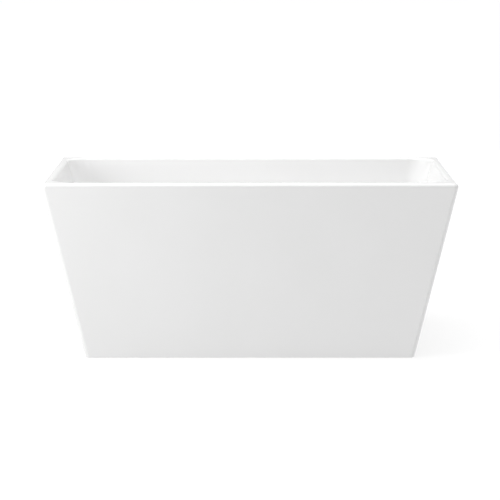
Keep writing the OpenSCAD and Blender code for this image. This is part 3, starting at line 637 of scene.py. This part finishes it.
# %% Zinc plate, chrome, brass and spring wire
plain_finish("zinc_plated_steel", 90.0, (0.62, 0.64, 0.68), (0.72, 0.71, 0.66), 0.2, 0.38,
             (1500.0, 1, 1, 0.2), 0.02, Metallic=1.0)
plain_finish("chromed_brass", 40.0, (0.76, 0.77, 0.785), (0.80, 0.805, 0.81), 0.03, 0.12,
             (300.0, 1, 1, 1), 0.004, Metallic=1.0)
plain_finish("raw_brass", 60.0, (0.72, 0.53, 0.24), (0.60, 0.42, 0.19), 0.2, 0.42,
             (1200.0, 0.1, 0.1, 1), 0.03, Metallic=1.0)
plain_finish("spring_steel", 200.0, (0.42, 0.43, 0.45), (0.55, 0.55, 0.56), 0.2, 0.35,
             (2000.0, 1, 1, 1), 0.01, Metallic=1.0)

# %% Plastics and rubbers
plain_finish("grey_plastic", 30.0, (0.60, 0.61, 0.62), (0.66, 0.665, 0.67), 0.3, 0.48,
             (1400.0, 1, 1, 1), 0.03)
plain_finish("white_nylon", 60.0, (0.78, 0.775, 0.75), (0.72, 0.71, 0.68), 0.35, 0.5,
             (900.0, 1, 1, 1), 0.02)
plain_finish("black_plastic", 60.0, (0.035, 0.035, 0.038), (0.055, 0.055, 0.058), 0.4, 0.6,
             (1600.0, 1, 1, 1), 0.05)
plain_finish("black_rubber", 80.0, (0.022, 0.022, 0.023), (0.045, 0.044, 0.043), 0.55, 0.8,
             (1200.0, 1, 1, 1), 0.05)
plain_finish("pad_rubber", 60.0, (0.030, 0.030, 0.032), (0.062, 0.060, 0.057), 0.6, 0.85,
             (1000.0, 1, 1, 1), 0.08)
print("finishes:", sorted(finishes))

# %% Give every part its finish
slot_of = {part["node"]: part["material_slot"] for part in frame["record"]["subparts"]}
CROSSWISE = ("batten_left", "batten_right")


def dress(piece, slot_name, finish=None):
    """Puts one finish on the whole of a piece."""
    piece.data.materials.clear()
    piece.data.materials.append(finishes[finish or slot_name])


for node, part in frame["nodes"].items():
    finish = slot_of[node] + ("_cross" if node in CROSSWISE else "")
    for place in part.material_slots:
        place.material = finishes[finish]
    if not part.material_slots:
        print("no slot on", node)
for piece, node in ((basin, "basin_shell"), (skirt, "outer_skirt")):
    dress(piece, slot_of[node])
print("dressed:", len(slot_of), "parts")

# %% [markdown]
# ## Tools for the smaller parts
# Most of the hardware is turned, cut from hexagonal bar, or folded from plate, so a few more
# helpers cover it. A thread is drawn as one tooth and wound up by the Screw modifier. A hexagon
# gets its chamfers by keeping only what it shares with a double cone.

# %% Helpers for hardware
def fitted(piece, node, body="tub", angle=32, weigh=True, finish=None):
    """Shades and dresses a finished piece, and puts it in place of its CAD part."""
    tidy_mesh(piece, 0.000002)
    smooth(piece, angle, weigh)
    dress(piece, slot_of[node], finish)
    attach(piece, body)
    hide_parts(node)
    print(piece.name, len(piece.data.polygons), [round(v * 1000, 1) for v in piece.dimensions])


def arc(centre, r, start, end, steps):
    """Points along part of a circle, in millimetres, for use in an outline."""
    turns = [math.radians(start + (end - start) * i / steps) for i in range(steps + 1)]
    return [(centre[0] + r * math.cos(a), centre[1] + r * math.sin(a)) for a in turns]


def prism(points, low, high, name):
    """A flat outline of (x, z) corners carried along Y, in millimetres."""
    slab = outline(points + points[:1], name)
    tidy_mesh(slab)
    edit(slab, "VERT", "SELECT")
    bpy.ops.mesh.edge_face_add()
    bpy.ops.transform.translate(value=(0, MM * low, 0))
    bpy.ops.mesh.extrude_region_move(TRANSFORM_OT_translate={"value": (0, MM * (high - low), 0)})
    done()
    tidy_mesh(slab)
    return slab


def spun(piece, degrees, name=None):
    """Turns a piece about Z."""
    piece.rotation_euler[2] = math.radians(degrees)
    return settle(piece, name or piece.name)


def aimed(piece, way, place):
    """Turns a piece made upright on Z to point along a way, and moves it, in millimetres."""
    turns = {"+X": (0, 90, 0), "-Y": (90, 0, 0)}
    piece.rotation_euler = [math.radians(a) for a in turns[way]]
    piece.location = [MM * p for p in place]
    return settle(piece, piece.name)


def repeated(piece, places, name):
    """Copies a piece to each (move, turn about Z), bins the first and joins the copies."""
    made = [copied(piece, "one", move, (0, 0, turn)) for move, turn in places]
    bpy.data.objects.remove(piece)
    return joined(made, name)


def soften(piece, width, steps=2, angle=40):
    """Rounds every edge sharper than an angle."""
    finish_step(piece, "BEVEL", width=MM * width, segments=steps, limit_method="ANGLE",
                angle_limit=math.radians(angle), harden_normals=False)


def hexagon(corners, low, high, hole, name):
    """A chamfered hexagon on Z, with an optional hole through it whose mouths are countersunk."""
    nut = spun(rod(corners, low, high, sides=6, name=name), 30)
    rim = corners * 0.425
    reach = corners * 0.51
    drop = (reach - rim) * 0.55
    cut(nut, turned([(0, low), (rim, low), (reach, low + drop), (reach, high - drop),
                     (rim, high), (0, high)], "cones", 48, closed=False), "INTERSECT")
    if hole:
        cut(nut, turned([(0, low - 1), (hole / 2 + 1.4, low - 1), (hole / 2, low + 0.4),
                         (hole / 2, high - 0.4), (hole / 2 + 1.4, high + 1), (0, high + 1)],
                        "bore", 48, closed=False))
    return nut


def thread(d, pitch, low, high, sides, name):
    """A threaded bar on Z with chamfered ends, in millimetres."""
    deep = 0.55 * pitch
    root, crest = d / 2 - deep, d / 2
    tooth = outline([(root, low - 2 * pitch), (root, low - 1.88 * pitch),
                     (crest, low - 1.56 * pitch), (crest, low - 1.44 * pitch),
                     (root, low - 1.12 * pitch), (root, low - pitch)], name)
    finish_step(tooth, "SCREW", axis="Z", angle=2 * math.pi, screw_offset=MM * pitch,
                iterations=math.ceil((high - low) / pitch) + 3, steps=sides, render_steps=sides,
                use_merge_vertices=True, merge_threshold=0.000001)
    tidy_mesh(tooth, 0.000001)
    for level, side in ((low - 0.2, {"clear_inner": True}), (high + 0.2, {"clear_outer": True})):
        edit(tooth, "FACE", "SELECT")
        bpy.ops.mesh.bisect(plane_co=(0, 0, MM * level), plane_no=(0, 0, 1), use_fill=True, **side)
        done()
    tidy_mesh(tooth, 0.000001)
    cut(tooth, turned([(0, low), (crest - deep, low), (crest + 0.2, low + deep + 0.2),
                       (crest + 0.2, high - deep - 0.2), (crest - deep, high), (0, high)],
                      "ends", 32, closed=False), "INTERSECT")
    return tooth


def scallops(piece, count, r, d, low, high, start=0.0):
    """Cuts a ring of round grip hollows into the outside of a piece."""
    tools = []
    for i in range(count):
        a = math.radians(start + 360 * i / count)
        tools.append(rod(d, low, high, (r * math.cos(a), r * math.sin(a)), 20))
    cut(piece, joined(tools, "grips"))


def hex_screw(length, name):
    """A 6 mm screw with its head's underside at zero and its thread up along Z."""
    head = hexagon(11, -4, 0, None, "head")
    shank = thread(5.96, 1.3, -0.4, length, 14, "shank")
    return joined([head, shank], name)


print("hardware helpers ready")

# %% [markdown]
# ## Waste and stopper
# The brass waste is seen from above as a polished ring with a domed cap in it. The ring's edge
# and the cap's are rounded over, and the gap between them is where the water leaves.

# %% Waste flange with its cross bars
flange = turned([(20, 115.5), (23.5, 115.5), (23.9, 116.2), (23.9, 163.5)]
                + arc((35.2, 164.3), 0.8, -90, 0, 4)
                + arc((33.4, 163.9), 2.6, 8, 90, 8)[1:]
                + [(28.6, 166.5)] + arc((28.6, 165.9), 0.6, 90, 160, 3)[1:]
                + [(26, 164.1), (21.5, 164.1), (20, 162.6)], "waste_flange", 96)
spider = turned([(4, 121.5), (6.4, 121.5), (7, 122.1), (7, 132.9), (6.4, 133.5), (4, 133.5)],
                "spider", 48)
for angle in (0, 90):
    arm = block((-21, 21), (-2, 2), (121.5, 127.5), "arm")
    soften(arm, 0.8, 2)
    cut(arm, rod(12, 120, 129, sides=32))
    spider = joined([spider, spun(arm, angle)], "spider")
flange = joined([flange, spider], "waste_flange")
fitted(flange, "drain_flange")

# %% Stopper cap, its washer and the barrel that carries it
dome = [(30 * math.cos(math.radians(a)), 168.9 + 4 * math.sin(math.radians(a)))
        for a in range(0, 90, 6)]
cap = turned([(0, 166.9), (4, 166.9), (4, 160.9), (7.6, 160.9), (8, 161.3), (8, 166.9)]
             + arc((29.2, 167.7), 0.8, -90, 0, 4) + dome + [(0, 172.9)],
             "stopper_dome", 96, closed=False)
fitted(cap, "stopper_cap", "stopper")
lip = turned([(8, 164.5), (22.6, 164.5)] + arc((22.8, 165.7), 1.2, -90, 90, 8)
             + [(8, 166.9)], "stopper_washer", 64)
fitted(lip, "stopper_seal", "stopper")
barrel = turned([(0, 119.5), (3.4, 119.5), (4, 120.1), (4, 133.5), (8.6, 133.5), (9, 133.9),
                 (9, 158.9), (8.2, 159.9), (7.6, 160.5), (5.6, 160.5), (5, 159.9), (5, 137.5),
                 (0, 137.5)], "stopper_barrel", 48, closed=False)
fitted(barrel, "stopper_cartridge")
plunger = turned([(3.6, 139.5), (4.65, 139.5), (4.95, 139.8), (4.95, 160.9), (4, 160.9),
                  (4, 166.9), (0, 166.9)], "stopper_plunger", 48, closed=False)
inner = rod(7.2, 139, 159.5, sides=48)
edit(plunger, "EDGE")
bpy.ops.mesh.select_all(action="DESELECT")
bpy.ops.mesh.select_non_manifold()
bpy.ops.mesh.edge_face_add()
done()
cut(plunger, inner)
fitted(plunger, "stopper_stem", "stopper")

# %% [markdown]
# ## Overflow
# The cover is a shallow round cup that stands a little off the wall. Water passes through the
# slot in its lower edge, then through the windows in its collar.

# %% Overflow cover and bush
cover = turned([(14.5, -8), (16, -8), (16, 10), (31, 10)] + arc((31, 8), 2, 80, 0, 4)
               + [(33, 1), (34.6, 1), (35, 1.4)] + arc((32.2, 9.2), 2.8, 0, 90, 8)
               + [(12, 12), (0, 12)], "overflow_face", 96, closed=False)
edit(cover, "EDGE")
print("collar rim:", pick(cover, "EDGE", lambda e: all(
    abs(v.co.z + 8 * MM) < 0.00001 and abs(v.co.xy.length - 14.5 * MM) < 0.0001
    for v in e.verts)))
bpy.ops.mesh.extrude_region_move(TRANSFORM_OT_translate={"value": (0, 0, MM * 18)})
bpy.ops.mesh.edge_face_add()
done()
tidy_mesh(cover)
slot_tool = block((-20, 20), (29, 64), (0, 7), "slot")
soften(slot_tool, 2.2, 3)
cut(cover, slot_tool)
for angle in (0, 90):
    window = block((-9, 9), (-17, 17), (3, 9), "window")
    soften(window, 1.2, 3)
    cut(cover, spun(window, angle))
fitted(at_overflow(cover, "overflow_face"), "overflow_cover")
bush = turned([(16, -20), (18.4, -20), (19, -19.4), (19, 0), (28.4, 0), (29, 0.6), (29, 2)]
              + arc((28, 2), 1, 0, 90, 4)[1:] + [(16.8, 3), (16, 2.2)], "overflow_bush", 64)
fitted(at_overflow(bush, "overflow_bush"), "overflow_bushing")

# %% [markdown]
# ## Steel frame
# The rails and cross tubes are cut from square tube with rounded corners. Each starts as a
# block, its four long edges are rounded, its ends are taken off, and the skin that is left is
# thickened inwards by the wall.

# %% Sizes of the frame, in millimetres
RAIL_HALF, RAIL_Y, RAIL_Z = 515, 150, (114, 139)
BAR_HALF, BAR_XS, BAR_Z = 300, (-400, -140, 140, 400), (89, 114)
TUBE_HALF, TUBE_WALL, TUBE_CORNER = 12.5, 2, 3.5
SCREW_HOLE = 6.2
HOLE_IN = 22
SCREW_ROWS = (14, 30)
RAIL_SCREWS = [(x, y) for x in (-300, -60, 60, 300) for y in (-RAIL_Y, RAIL_Y)]
FEET = {"front_left": (-400, -232), "front_right": (400, -232),
        "back_left": (-400, 232), "back_right": (400, 232)}
print("frame:", len(RAIL_SCREWS), "board screws,", len(FEET), "feet")


# %% Square tubes
def square_tube(along, x, y, z, name):
    """A square tube with rounded corners that runs along X (0) or Y (1)."""
    tube = block(x, y, z, name)
    edit(tube, "EDGE")
    pick(tube, "EDGE", lambda e: run(e)[along] > 0.2)
    bpy.ops.mesh.bevel(offset=MM * TUBE_CORNER, segments=5, affect="EDGES")
    bpy.ops.mesh.select_mode(type="FACE")
    pick(tube, "FACE", lambda f: abs(f.normal[along]) > 0.99)
    bpy.ops.mesh.delete(type="FACE")
    done()
    finish_step(tube, "SOLIDIFY", thickness=MM * TUBE_WALL, offset=-1, use_even_offset=True)
    return tube


for name, y in (("front", -RAIL_Y), ("back", RAIL_Y)):
    rail = square_tube(0, (-RAIL_HALF, RAIL_HALF), (y - TUBE_HALF, y + TUBE_HALF), RAIL_Z,
                       "steel_rail_" + name)
    drills = [rod(SCREW_HOLE, RAIL_Z[0] - 4, RAIL_Z[1] + 3, place, 24)
              for place in RAIL_SCREWS if place[1] == y]
    drills += [rod(SCREW_HOLE, RAIL_Z[0] - 2, RAIL_Z[0] + 4, (side * (RAIL_HALF - HOLE_IN), y), 24)
               for side in (-1, 1)]
    cut(rail, joined(drills, "drills"))
    fitted(rail, "rail_" + name)

for name, x in zip(("left", "mid_left", "mid_right", "right"), BAR_XS):
    bar = square_tube(1, (x - TUBE_HALF, x + TUBE_HALF), (-BAR_HALF, BAR_HALF), BAR_Z,
                      "steel_bar_" + name)
    drills = [rod(SCREW_HOLE, BAR_Z[0] - 2, BAR_Z[0] + 4, (x, side * (BAR_HALF - HOLE_IN)), 24)
              for side in (-1, 1)]
    drills += [rod(13, BAR_Z[0] - 2, BAR_Z[1] + 2, place, 32)
               for place in FEET.values() if place[0] == x]
    cut(bar, joined(drills, "drills"))
    fitted(bar, "cross_tube_" + name)

# %% Plugs in the tube ends
plug = block((0, 2), (-TUBE_HALF, TUBE_HALF), (0, 2 * TUBE_HALF), "plug")
edit(plug, "EDGE")
pick(plug, "EDGE", lambda e: run(e)[0] > 0.001)
bpy.ops.mesh.bevel(offset=MM * TUBE_CORNER, segments=5, affect="EDGES")
pick(plug, "EDGE", lambda e: all(v.co.x > 0.0019 for v in e.verts))
bpy.ops.mesh.bevel(offset=MM * 0.8, segments=3, affect="EDGES")
done()
stub = block((-10, 0.2), (-10.4, 10.4), (2.1, 22.9), "stub")
cut(stub, block((-11, -0.5), (-8.6, 8.6), (3.9, 21.1), "hollow"))
fins = [stub]
for x in (-8, -6, -4):
    fin = block((x - 0.3, x + 0.3), (-10.45, 10.45), (2.05, 22.95), "fin")
    cut(fin, block((x - 1, x + 1), (-9.5, 9.5), (3, 22), "hollow"))
    fins.append(fin)
ends = [((side * RAIL_HALF, y, RAIL_Z[0]), 90 - 90 * side)
        for side in (-1, 1) for y in (-RAIL_Y, RAIL_Y)]
ends += [((x, side * BAR_HALF, BAR_Z[0]), 90 * side) for x in BAR_XS for side in (-1, 1)]
fitted(repeated(joined([plug] + fins, "plug"), ends, "end_plugs"), "tube_plugs")

# %% Screws, each with a rolled thread and a chamfered head
fitted(repeated(hex_screw(38, "long_screw"), [((x, y, RAIL_Z[0]), 0) for x, y in RAIL_SCREWS],
                "board_screws"), "rail_screws", weigh=False)

# %% Where the angle brackets go
SIDE_OUT, SIDE_REACH = 303.622, 42
END_OUT, END_REACH = 534.439, 50
side_places = [((x, side * SIDE_OUT, 0), side * 90) for x in BAR_XS for side in (1, -1)]
end_places = [((side * END_OUT, y, 0), 90 - 90 * side)
              for side in (1, -1) for y in (-side * RAIL_Y, side * RAIL_Y)]
angles = (
    ("side_brackets", side_places, SIDE_REACH, BAR_Z[0], BAR_HALF - SIDE_OUT - HOLE_IN),
    ("end_brackets", end_places, END_REACH, RAIL_Z[0], RAIL_HALF - END_OUT - HOLE_IN),
)
print("angle brackets:", len(side_places) + len(end_places))

# %% Screws of the brackets
batten_screw = aimed(hex_screw(18, "batten_screw"), "+X", (-3, 0, 0))
tube_screw = hex_screw(11, "tube_screw")
sets = []
for node, places, reach, top, hole_x in angles:
    screws = [copied(batten_screw, "one", (0, 0, z)) for z in SCREW_ROWS]
    screws.append(copied(tube_screw, "one", (hole_x, 0, top - 3)))
    sets.append(repeated(joined(screws, "screws"), places, "set"))
bpy.data.objects.remove(batten_screw)
bpy.data.objects.remove(tube_screw)
fitted(joined(sets, "angle_screws"), "bracket_screws", weigh=False)

# %% Angle brackets, folded from plate with a round bend
for node, places, reach, top, hole_x in angles:
    angle = prism([(-reach, top), (-reach, top - 3)]
                  + arc((-5, top - 5), 2, 90, 0, 5) + [(-3, 10), (0, 10)]
                  + arc((-5, top - 5), 5, 0, 90, 8), -15, 15, "angle")
    edit(angle, "EDGE")
    pick(angle, "EDGE", lambda e: (run(e)[2] > 0.002 and run(e)[0] < 0.0001
                                   and abs(e.verts[0].co.x + reach * MM) < 0.0001)
         or (run(e)[0] > 0.002 and abs(e.verts[0].co.z - 0.010) < 0.0001
             and abs(e.verts[1].co.z - 0.010) < 0.0001))
    bpy.ops.mesh.bevel(offset=MM * 5, segments=5, affect="EDGES")
    done()
    drills = [aimed(rod(SCREW_HOLE, -6, 3, sides=24), "+X", (0, 0, z)) for z in SCREW_ROWS]
    drills.append(rod(SCREW_HOLE, top - 6, top + 2, (hole_x, 0), 24))
    cut(angle, joined(drills, "drills"))
    soften(angle, 0.35, 2)
    fitted(repeated(angle, places, "folded_" + node), node)

# %% [markdown]
# ## Timber and board
# The battens are planed softwood, with one face cut to the skirt's lean. The board is plywood
# with rounded corners and an opening for the waste.

# %% Battens, each built to face +X and then turned to its side
BATTEN_Z = (6, 46)
BATTEN_T = 20
SKIRT_LEAN_H = 588
long_side = (323.5, 18, 533.44, BAR_XS, None)
short_side = (553.5, 138, 309.12, (-RAIL_Y, RAIL_Y), "softwood_cross")
for side, turn, (out, lean, half, holes, finish) in (
        ("front", -90, long_side), ("back", 90, long_side),
        ("left", 180, short_side), ("right", 0, short_side)):
    low, high = (out + lean * (z - FOOT_Z) / SKIRT_LEAN_H for z in BATTEN_Z)
    plank = prism([(low - BATTEN_T, BATTEN_Z[0]), (low, BATTEN_Z[0]), (high, BATTEN_Z[1]),
                   (low - BATTEN_T, BATTEN_Z[1])], -half, half, "plank")
    soften(plank, 1.0, 2)
    cut(plank, joined([aimed(rod(SCREW_HOLE, -1, 17, sides=20), "+X", (low - BATTEN_T, y, z))
                       for y in holes for z in SCREW_ROWS], "drills"))
    fitted(spun(plank, turn, "timber_" + side), "batten_" + side, finish=finish)

# %% Base board
board = block((-480, 480), (-171, 171), (139, 157), "plywood_board")
edit(board, "EDGE")
pick(board, "EDGE", lambda e: run(e)[2] > 0.01)
bpy.ops.mesh.bevel(offset=MM * 30, segments=10, affect="EDGES")
done()
cut(board, rod(128, 137, 159, sides=96))
cut(board, joined([rod(SCREW_HOLE, 137, 153, place, 24) for place in RAIL_SCREWS], "drills"))
soften(board, 0.8, 2)
fitted(board, "base_board")

# %% [markdown]
# ## Feet
# Each foot is a rubber pad that swivels under a threaded stud. The stud climbs through a nut
# welded under the frame as it is turned, and a second nut locks it at its height.

# %% Nuts, studs and pads
for node, name, corners, low, high in (("foot_weld_nuts", "welded_nuts", 22, 79, 89),
                                       ("foot_lock_nuts", "locking_nuts", 21.9, 72, 79)):
    places = [((*place, 0), 0) for place in FEET.values()]
    fitted(repeated(hexagon(corners, low, high, 12.1, "nut"), places, name), node)

screwed = thread(12, 1.75, 19, 122, 28, "screwed")
collar = hexagon(21.9, 14, 20, None, "collar")
spigot = turned([(0, 6), (3.5, 6), (4, 6.5), (4, 15), (0, 15)], "spigot", 32, closed=False)
stud = joined([screwed, collar, spigot], "stud")
pad = turned([(0, 0.9), (8, 0.9), (9, 0), (12, 0), (13, 0.9), (16, 0.9), (17, 0), (23.4, 0)]
             + arc((24, 1), 1, -90, 0, 4)[1:] + arc((24, 3), 1, 0, 80, 4)
             + [(16.5, 9), (15.2, 10.1), (13.4, 13.3)] + arc((12.6, 13.2), 0.8, 10, 90, 3)
             + [(4.6, 14), (4.05, 13.4), (4.05, 5.7), (0, 5.7)], "pad", 72, closed=False)
scallops(pad, 18, 26.6, 4.6, -1, 5.2)
for piece, name, body, weigh in ((stud, "threaded_foot_", "stud_", False),
                                 (pad, "rubber_foot_", "pad_", True)):
    for corner, (x, y) in FEET.items():
        made = copied(piece, name + corner, (x, y, 0))
        fitted(made, "foot_" + body + corner, body + corner, weigh=weigh)
    bpy.data.objects.remove(piece)

# %% [markdown]
# ## Pipes under the bath
# The tee, the bend and the hopper are moulded plastic, with sockets that the plain pipes slip
# into and ribs that stiffen them. The nuts that close the joints have hollows for a hand or
# flats for a wrench.

# %% Brass nuts, washers and the tailpiece
fitted(hexagon(66, 142.5, 152.5, 47.8, "waste_nut"), "drain_locknut")
slip_nut = hexagon(60, 53.5, 69.5, 39.1, "slip_nut")
cut(slip_nut, rod(46, 58.5, 71, sides=64))
fitted(slip_nut, "tail_nut")
tail = turned([(17.05, 12.6), (17.4, 12), (18.7, 12), (19.05, 12.4), (19.05, 53), (18.55, 53),
               (18.55, 78), (18.1, 78.5), (17.05, 78.5)], "tail_pipe", 64)
fitted(tail, "tailpiece")
for node, name, r0, r1, low, high in (
        ("drain_gasket_top", "flange_seal", 24.1, 34, 162, 163.5),
        ("drain_gasket_bottom", "nut_seal", 24.1, 31, 154, 157),
        ("drain_washer", "slip_ring", 24.2, 31, 152.5, 154),
        ("tail_washer", "tail_ring", 18.55, 22.5, 58.5, 62.5)):
    ease = 0.3
    ring = turned([(r0, low + ease), (r0 + ease, low), (r1 - ease, low), (r1, low + ease),
                   (r1, high - ease), (r1 - ease, high), (r0 + ease, high), (r0, high - ease)],
                  name, 64)
    fitted(ring, node)
seal = turned([(21, -11), (29.7, -11), (30, -10.7), (30, -8.3), (29.7, -8), (21, -8)],
              "wall_seal", 64)
fitted(at_overflow(seal, "wall_seal"), "overflow_gasket")


# %% The overflow pipe's line, and a bent bar
OUTLET_Y = -306.6
BRANCH_Z = 91.5


def shifted(piece, z=0):
    """Moves a piece made on the middle line to the overflow pipe's line, and up by z."""
    piece.location = (0, MM * OUTLET_Y, MM * z)
    return settle(piece, piece.name)


def bent_bar(d, bend_r, over, name):
    """A round bar bent through a quarter turn, from up Z to along +Y."""
    bpy.ops.mesh.primitive_circle_add(vertices=40, radius=MM * d / 2, fill_type="NGON")
    bar = settle(bpy.context.active_object, name)
    edit(bar, "FACE", "SELECT")
    bpy.ops.transform.translate(value=(0, 0, MM * bend_r))
    bpy.ops.transform.rotate(value=math.radians(over), orient_axis="X",
                             center_override=(0, MM * bend_r, MM * bend_r))
    bpy.ops.mesh.spin(steps=20, angle=math.radians(90 + 2 * over),
                      center=(0, MM * bend_r, MM * bend_r), axis=(1, 0, 0))
    done()
    tidy_mesh(bar)
    return bar


# %% Tee under the waste
tee = turned([(0, 62.5), (22.4, 62.5), (23, 63.1), (23, 105), (24.5, 107.5), (28.4, 107.5),
              (29, 108.1), (29, 126), (29, 134.5), (29, 138.9), (28.4, 139.5), (0, 139.5)],
             "waste_tee", 80, closed=False)
at_branch = (0, 0, BRANCH_Z)
cut(tee, aimed(turned([(0, 0), (20, 0), (20, 57.4), (19.4, 58), (0, 58)], "arm", 64,
                      closed=False), "-Y", at_branch), "UNION")
ribs = []
for angle in (45, 135, 225, 315):
    rib = block((21, 28.2), (-1.2, 1.2), (76, 108.5), "rib")
    edit(rib, "EDGE")
    pick(rib, "EDGE", lambda e: all(v.co.x > 0.028 and v.co.z < 0.08 for v in e.verts))
    bpy.ops.mesh.bevel(offset=MM * 6.6, segments=1, affect="EDGES")
    done()
    ribs.append(spun(rib, angle))
cut(tee, joined(ribs, "ribs"), "UNION")
for d, low, high, sides in ((47.8, 115.5, 142, 80), (34.1, 60, 117, 64), (37.3, 60, 78.5, 64)):
    cut(tee, rod(d, low, high, sides=sides))
for d, low in ((28, 0), (32.2, 38)):
    cut(tee, aimed(rod(d, low, 60, sides=56), "-Y", at_branch))
soften(tee, 0.5, 2, 50)
fitted(tee, "drain_tee")

# %% Pipes, bend and their nut


def plain_pipe(low, high, name):
    """A length of the overflow's pipe on Z, eased at its ends."""
    return turned([(14, low), (15.5, low), (16, low + 0.5), (16, high - 0.5), (15.5, high),
                   (14, high)], name, 56)


fitted(shifted(plain_pipe(125.5, 306, "drop_pipe_set")), "overflow_pipe")
fitted(aimed(plain_pipe(38, 272.6, "side_pipe"), "-Y", (0, 0, BRANCH_Z)), "branch_pipe")

grip = turned([(16.1, 283.5), (16.6, 283), (22, 283), (23, 284), (23, 302), (22, 303), (20, 303),
               (20, 288), (16.1, 288)], "hopper_nut", 96)
scallops(grip, 12, 24.6, 5.4, 281, 305)
fitted(shifted(grip), "pipe_nut")

bend = bent_bar(35, 30, 0, "elbow_moulding")
upper = turned([(0, 29), (17.5, 29), (18.4, 30), (19.4, 30), (20, 30.6), (20, 57.4), (19.4, 58),
                (0, 58)], "upper", 56, closed=False)
lower = copied(upper, "lower", (0, 0, 0), (-90, 0, 0))
cut(bend, upper, "UNION")
cut(bend, lower, "UNION")
cut(bend, bent_bar(28, 30, 1, "inside"))
for low, high, d in ((34, 60, 32.2), (30, 35, 29.5)):
    bore = rod(d, low, high, sides=56)
    side = copied(bore, "side", (0, 0, 0), (-90, 0, 0))
    cut(bend, bore)
    cut(bend, side)
soften(bend, 0.4, 2, 50)
fitted(shifted(bend, BRANCH_Z), "overflow_elbow")

# %% Hopper behind the overflow
SLOPE = math.tan(math.radians(WALL_TILT))
FACE_Y = OVERFLOW_Y - 11 / math.cos(math.radians(WALL_TILT))


def hopper_side(wall):
    """Outline of the hopper from the side, as (y, z), shrunk all round by a wall."""
    thin = wall / math.cos(math.radians(WALL_TILT))
    low, high = 310 + wall, 516 - wall
    return [(-330.43 + wall, low), (FACE_Y - (low - 485) * SLOPE - thin, low),
            (FACE_Y - (high - 485) * SLOPE - thin, high), (-330.43 + wall, high)]


hopper = spun(prism(hopper_side(0), -33, 33, "overflow_box"), 90)
soften(hopper, 3, 3)
spout = turned([(0, 288), (19.4, 288), (20, 288.6), (20, 311), (0, 311)], "spout", 56,
               closed=False)
cut(hopper, shifted(spout), "UNION")
cut(hopper, spun(prism(hopper_side(2.5), -30.5, 30.5, "void"), 90))
cut(hopper, rod(32.2, 287, 306, (0, OUTLET_Y), 56))
cut(hopper, rod(28, 288, 314, (0, OUTLET_Y), 56))
cut(hopper, at_overflow(rod(38, -21, -1, sides=64), "hole"))
fitted(hopper, "overflow_hopper")
print("all pieces built")

# %% [markdown]
# ## Floor, light and camera
# The bath stands on a plain white floor under a bright even sky, as in a studio tent. One broad
# light from above brightens the rim, and a nearer soft box on the left lets the long side fade a
# little from left to right. Two fills reach the ends of the basin and a low one its back wall.
# A large card behind gives the flat of the rim something bright to mirror.

# %% Floor
bpy.ops.object.select_all(action="DESELECT")
bpy.ops.mesh.primitive_plane_add(size=160, location=(0, 0, 0))
floor = bpy.context.active_object
floor.name = "studio_floor"
tree, shader, place = start_finish("white_floor", Roughness=0.95,
                                   Emission_Strength=0.77)
shader.inputs["Specular IOR Level"].default_value = 0.0
shader.inputs["Base Color"].default_value = rgb(0.24, 0.24, 0.24)
shader.inputs["Emission Color"].default_value = rgb(1.0, 1.0, 1.0)
floor.data.materials.append(finishes["white_floor"])

# %% Light
world = bpy.data.worlds.new("studio")
bpy.context.scene.world = world
world.use_nodes = True
tree = world.node_tree
sky = tree.nodes["Background"]
sky.inputs["Color"].default_value = rgb(1.0, 1.0, 1.0)
generated = tree.nodes.new("ShaderNodeTexCoord").outputs["Generated"]
way = put(tree, "SeparateXYZ", {"Vector": generated})
tree.links.new(spread(tree, way.outputs["Z"], 0.0, 1.0, 0.0, 0.8), sky.inputs["Strength"])


def light(kind, name, place, aim, power, **settings):
    """Adds a light at a place, turned to face a point."""
    bpy.ops.object.light_add(type=kind, location=place)
    lamp = bpy.context.active_object
    lamp.name = name
    lamp.data.energy = power
    for key, value in settings.items():
        setattr(lamp.data, key, value)
    step = [a - p for a, p in zip(aim, place)]
    flat = math.hypot(step[0], step[1])
    lamp.rotation_euler = (math.atan2(flat, -step[2]), 0, math.atan2(-step[0], step[1]))
    return lamp


def soft_light(name, place, aim, width, power, height=None, mirrored=True):
    """A soft box the camera can't see; it is square unless a height is given."""
    lamp = light("AREA", name, place, aim, power, shape="RECTANGLE", size=width,
                 size_y=height or width)
    lamp.visible_camera = False
    lamp.visible_glossy = mirrored


light("SUN", "sky_left", (-1.6, -1.0, 8.8), (0, 0, 0), 1.5, angle=math.radians(50))
soft_light("key_left", (-2.2, -1.6, 1.2), (0, 0, 0.3), 1.0, 21.5)
soft_light("fill_left", (-5.0, 0.6, 1.6), (0, 0.1, 0.6), 2.0, 28, mirrored=False)
soft_light("fill_right", (5.0, 0.8, 2.0), (0, 0.1, 0.6), 2.0, 30, mirrored=False)
soft_light("over_basin", (-0.05, -0.12, 1.15), (-0.05, 0.32, 0.45), 1.7, 2.9, 0.5, mirrored=False)
soft_light("back_card", (0, 5.0, 1.6), (0, 0, 0.6), 5.0, 46)
bpy.context.scene.view_settings.view_transform = "Standard"

# %% Camera
bpy.ops.object.camera_add(location=(0, -6.504, 1.493), rotation=(math.radians(79.74), 0, 0))
camera = bpy.context.active_object
camera.name = "front_camera"
camera.data.lens = 133.6
camera.data.sensor_width = 36
camera.data.clip_end = 200
bpy.context.scene.camera = camera
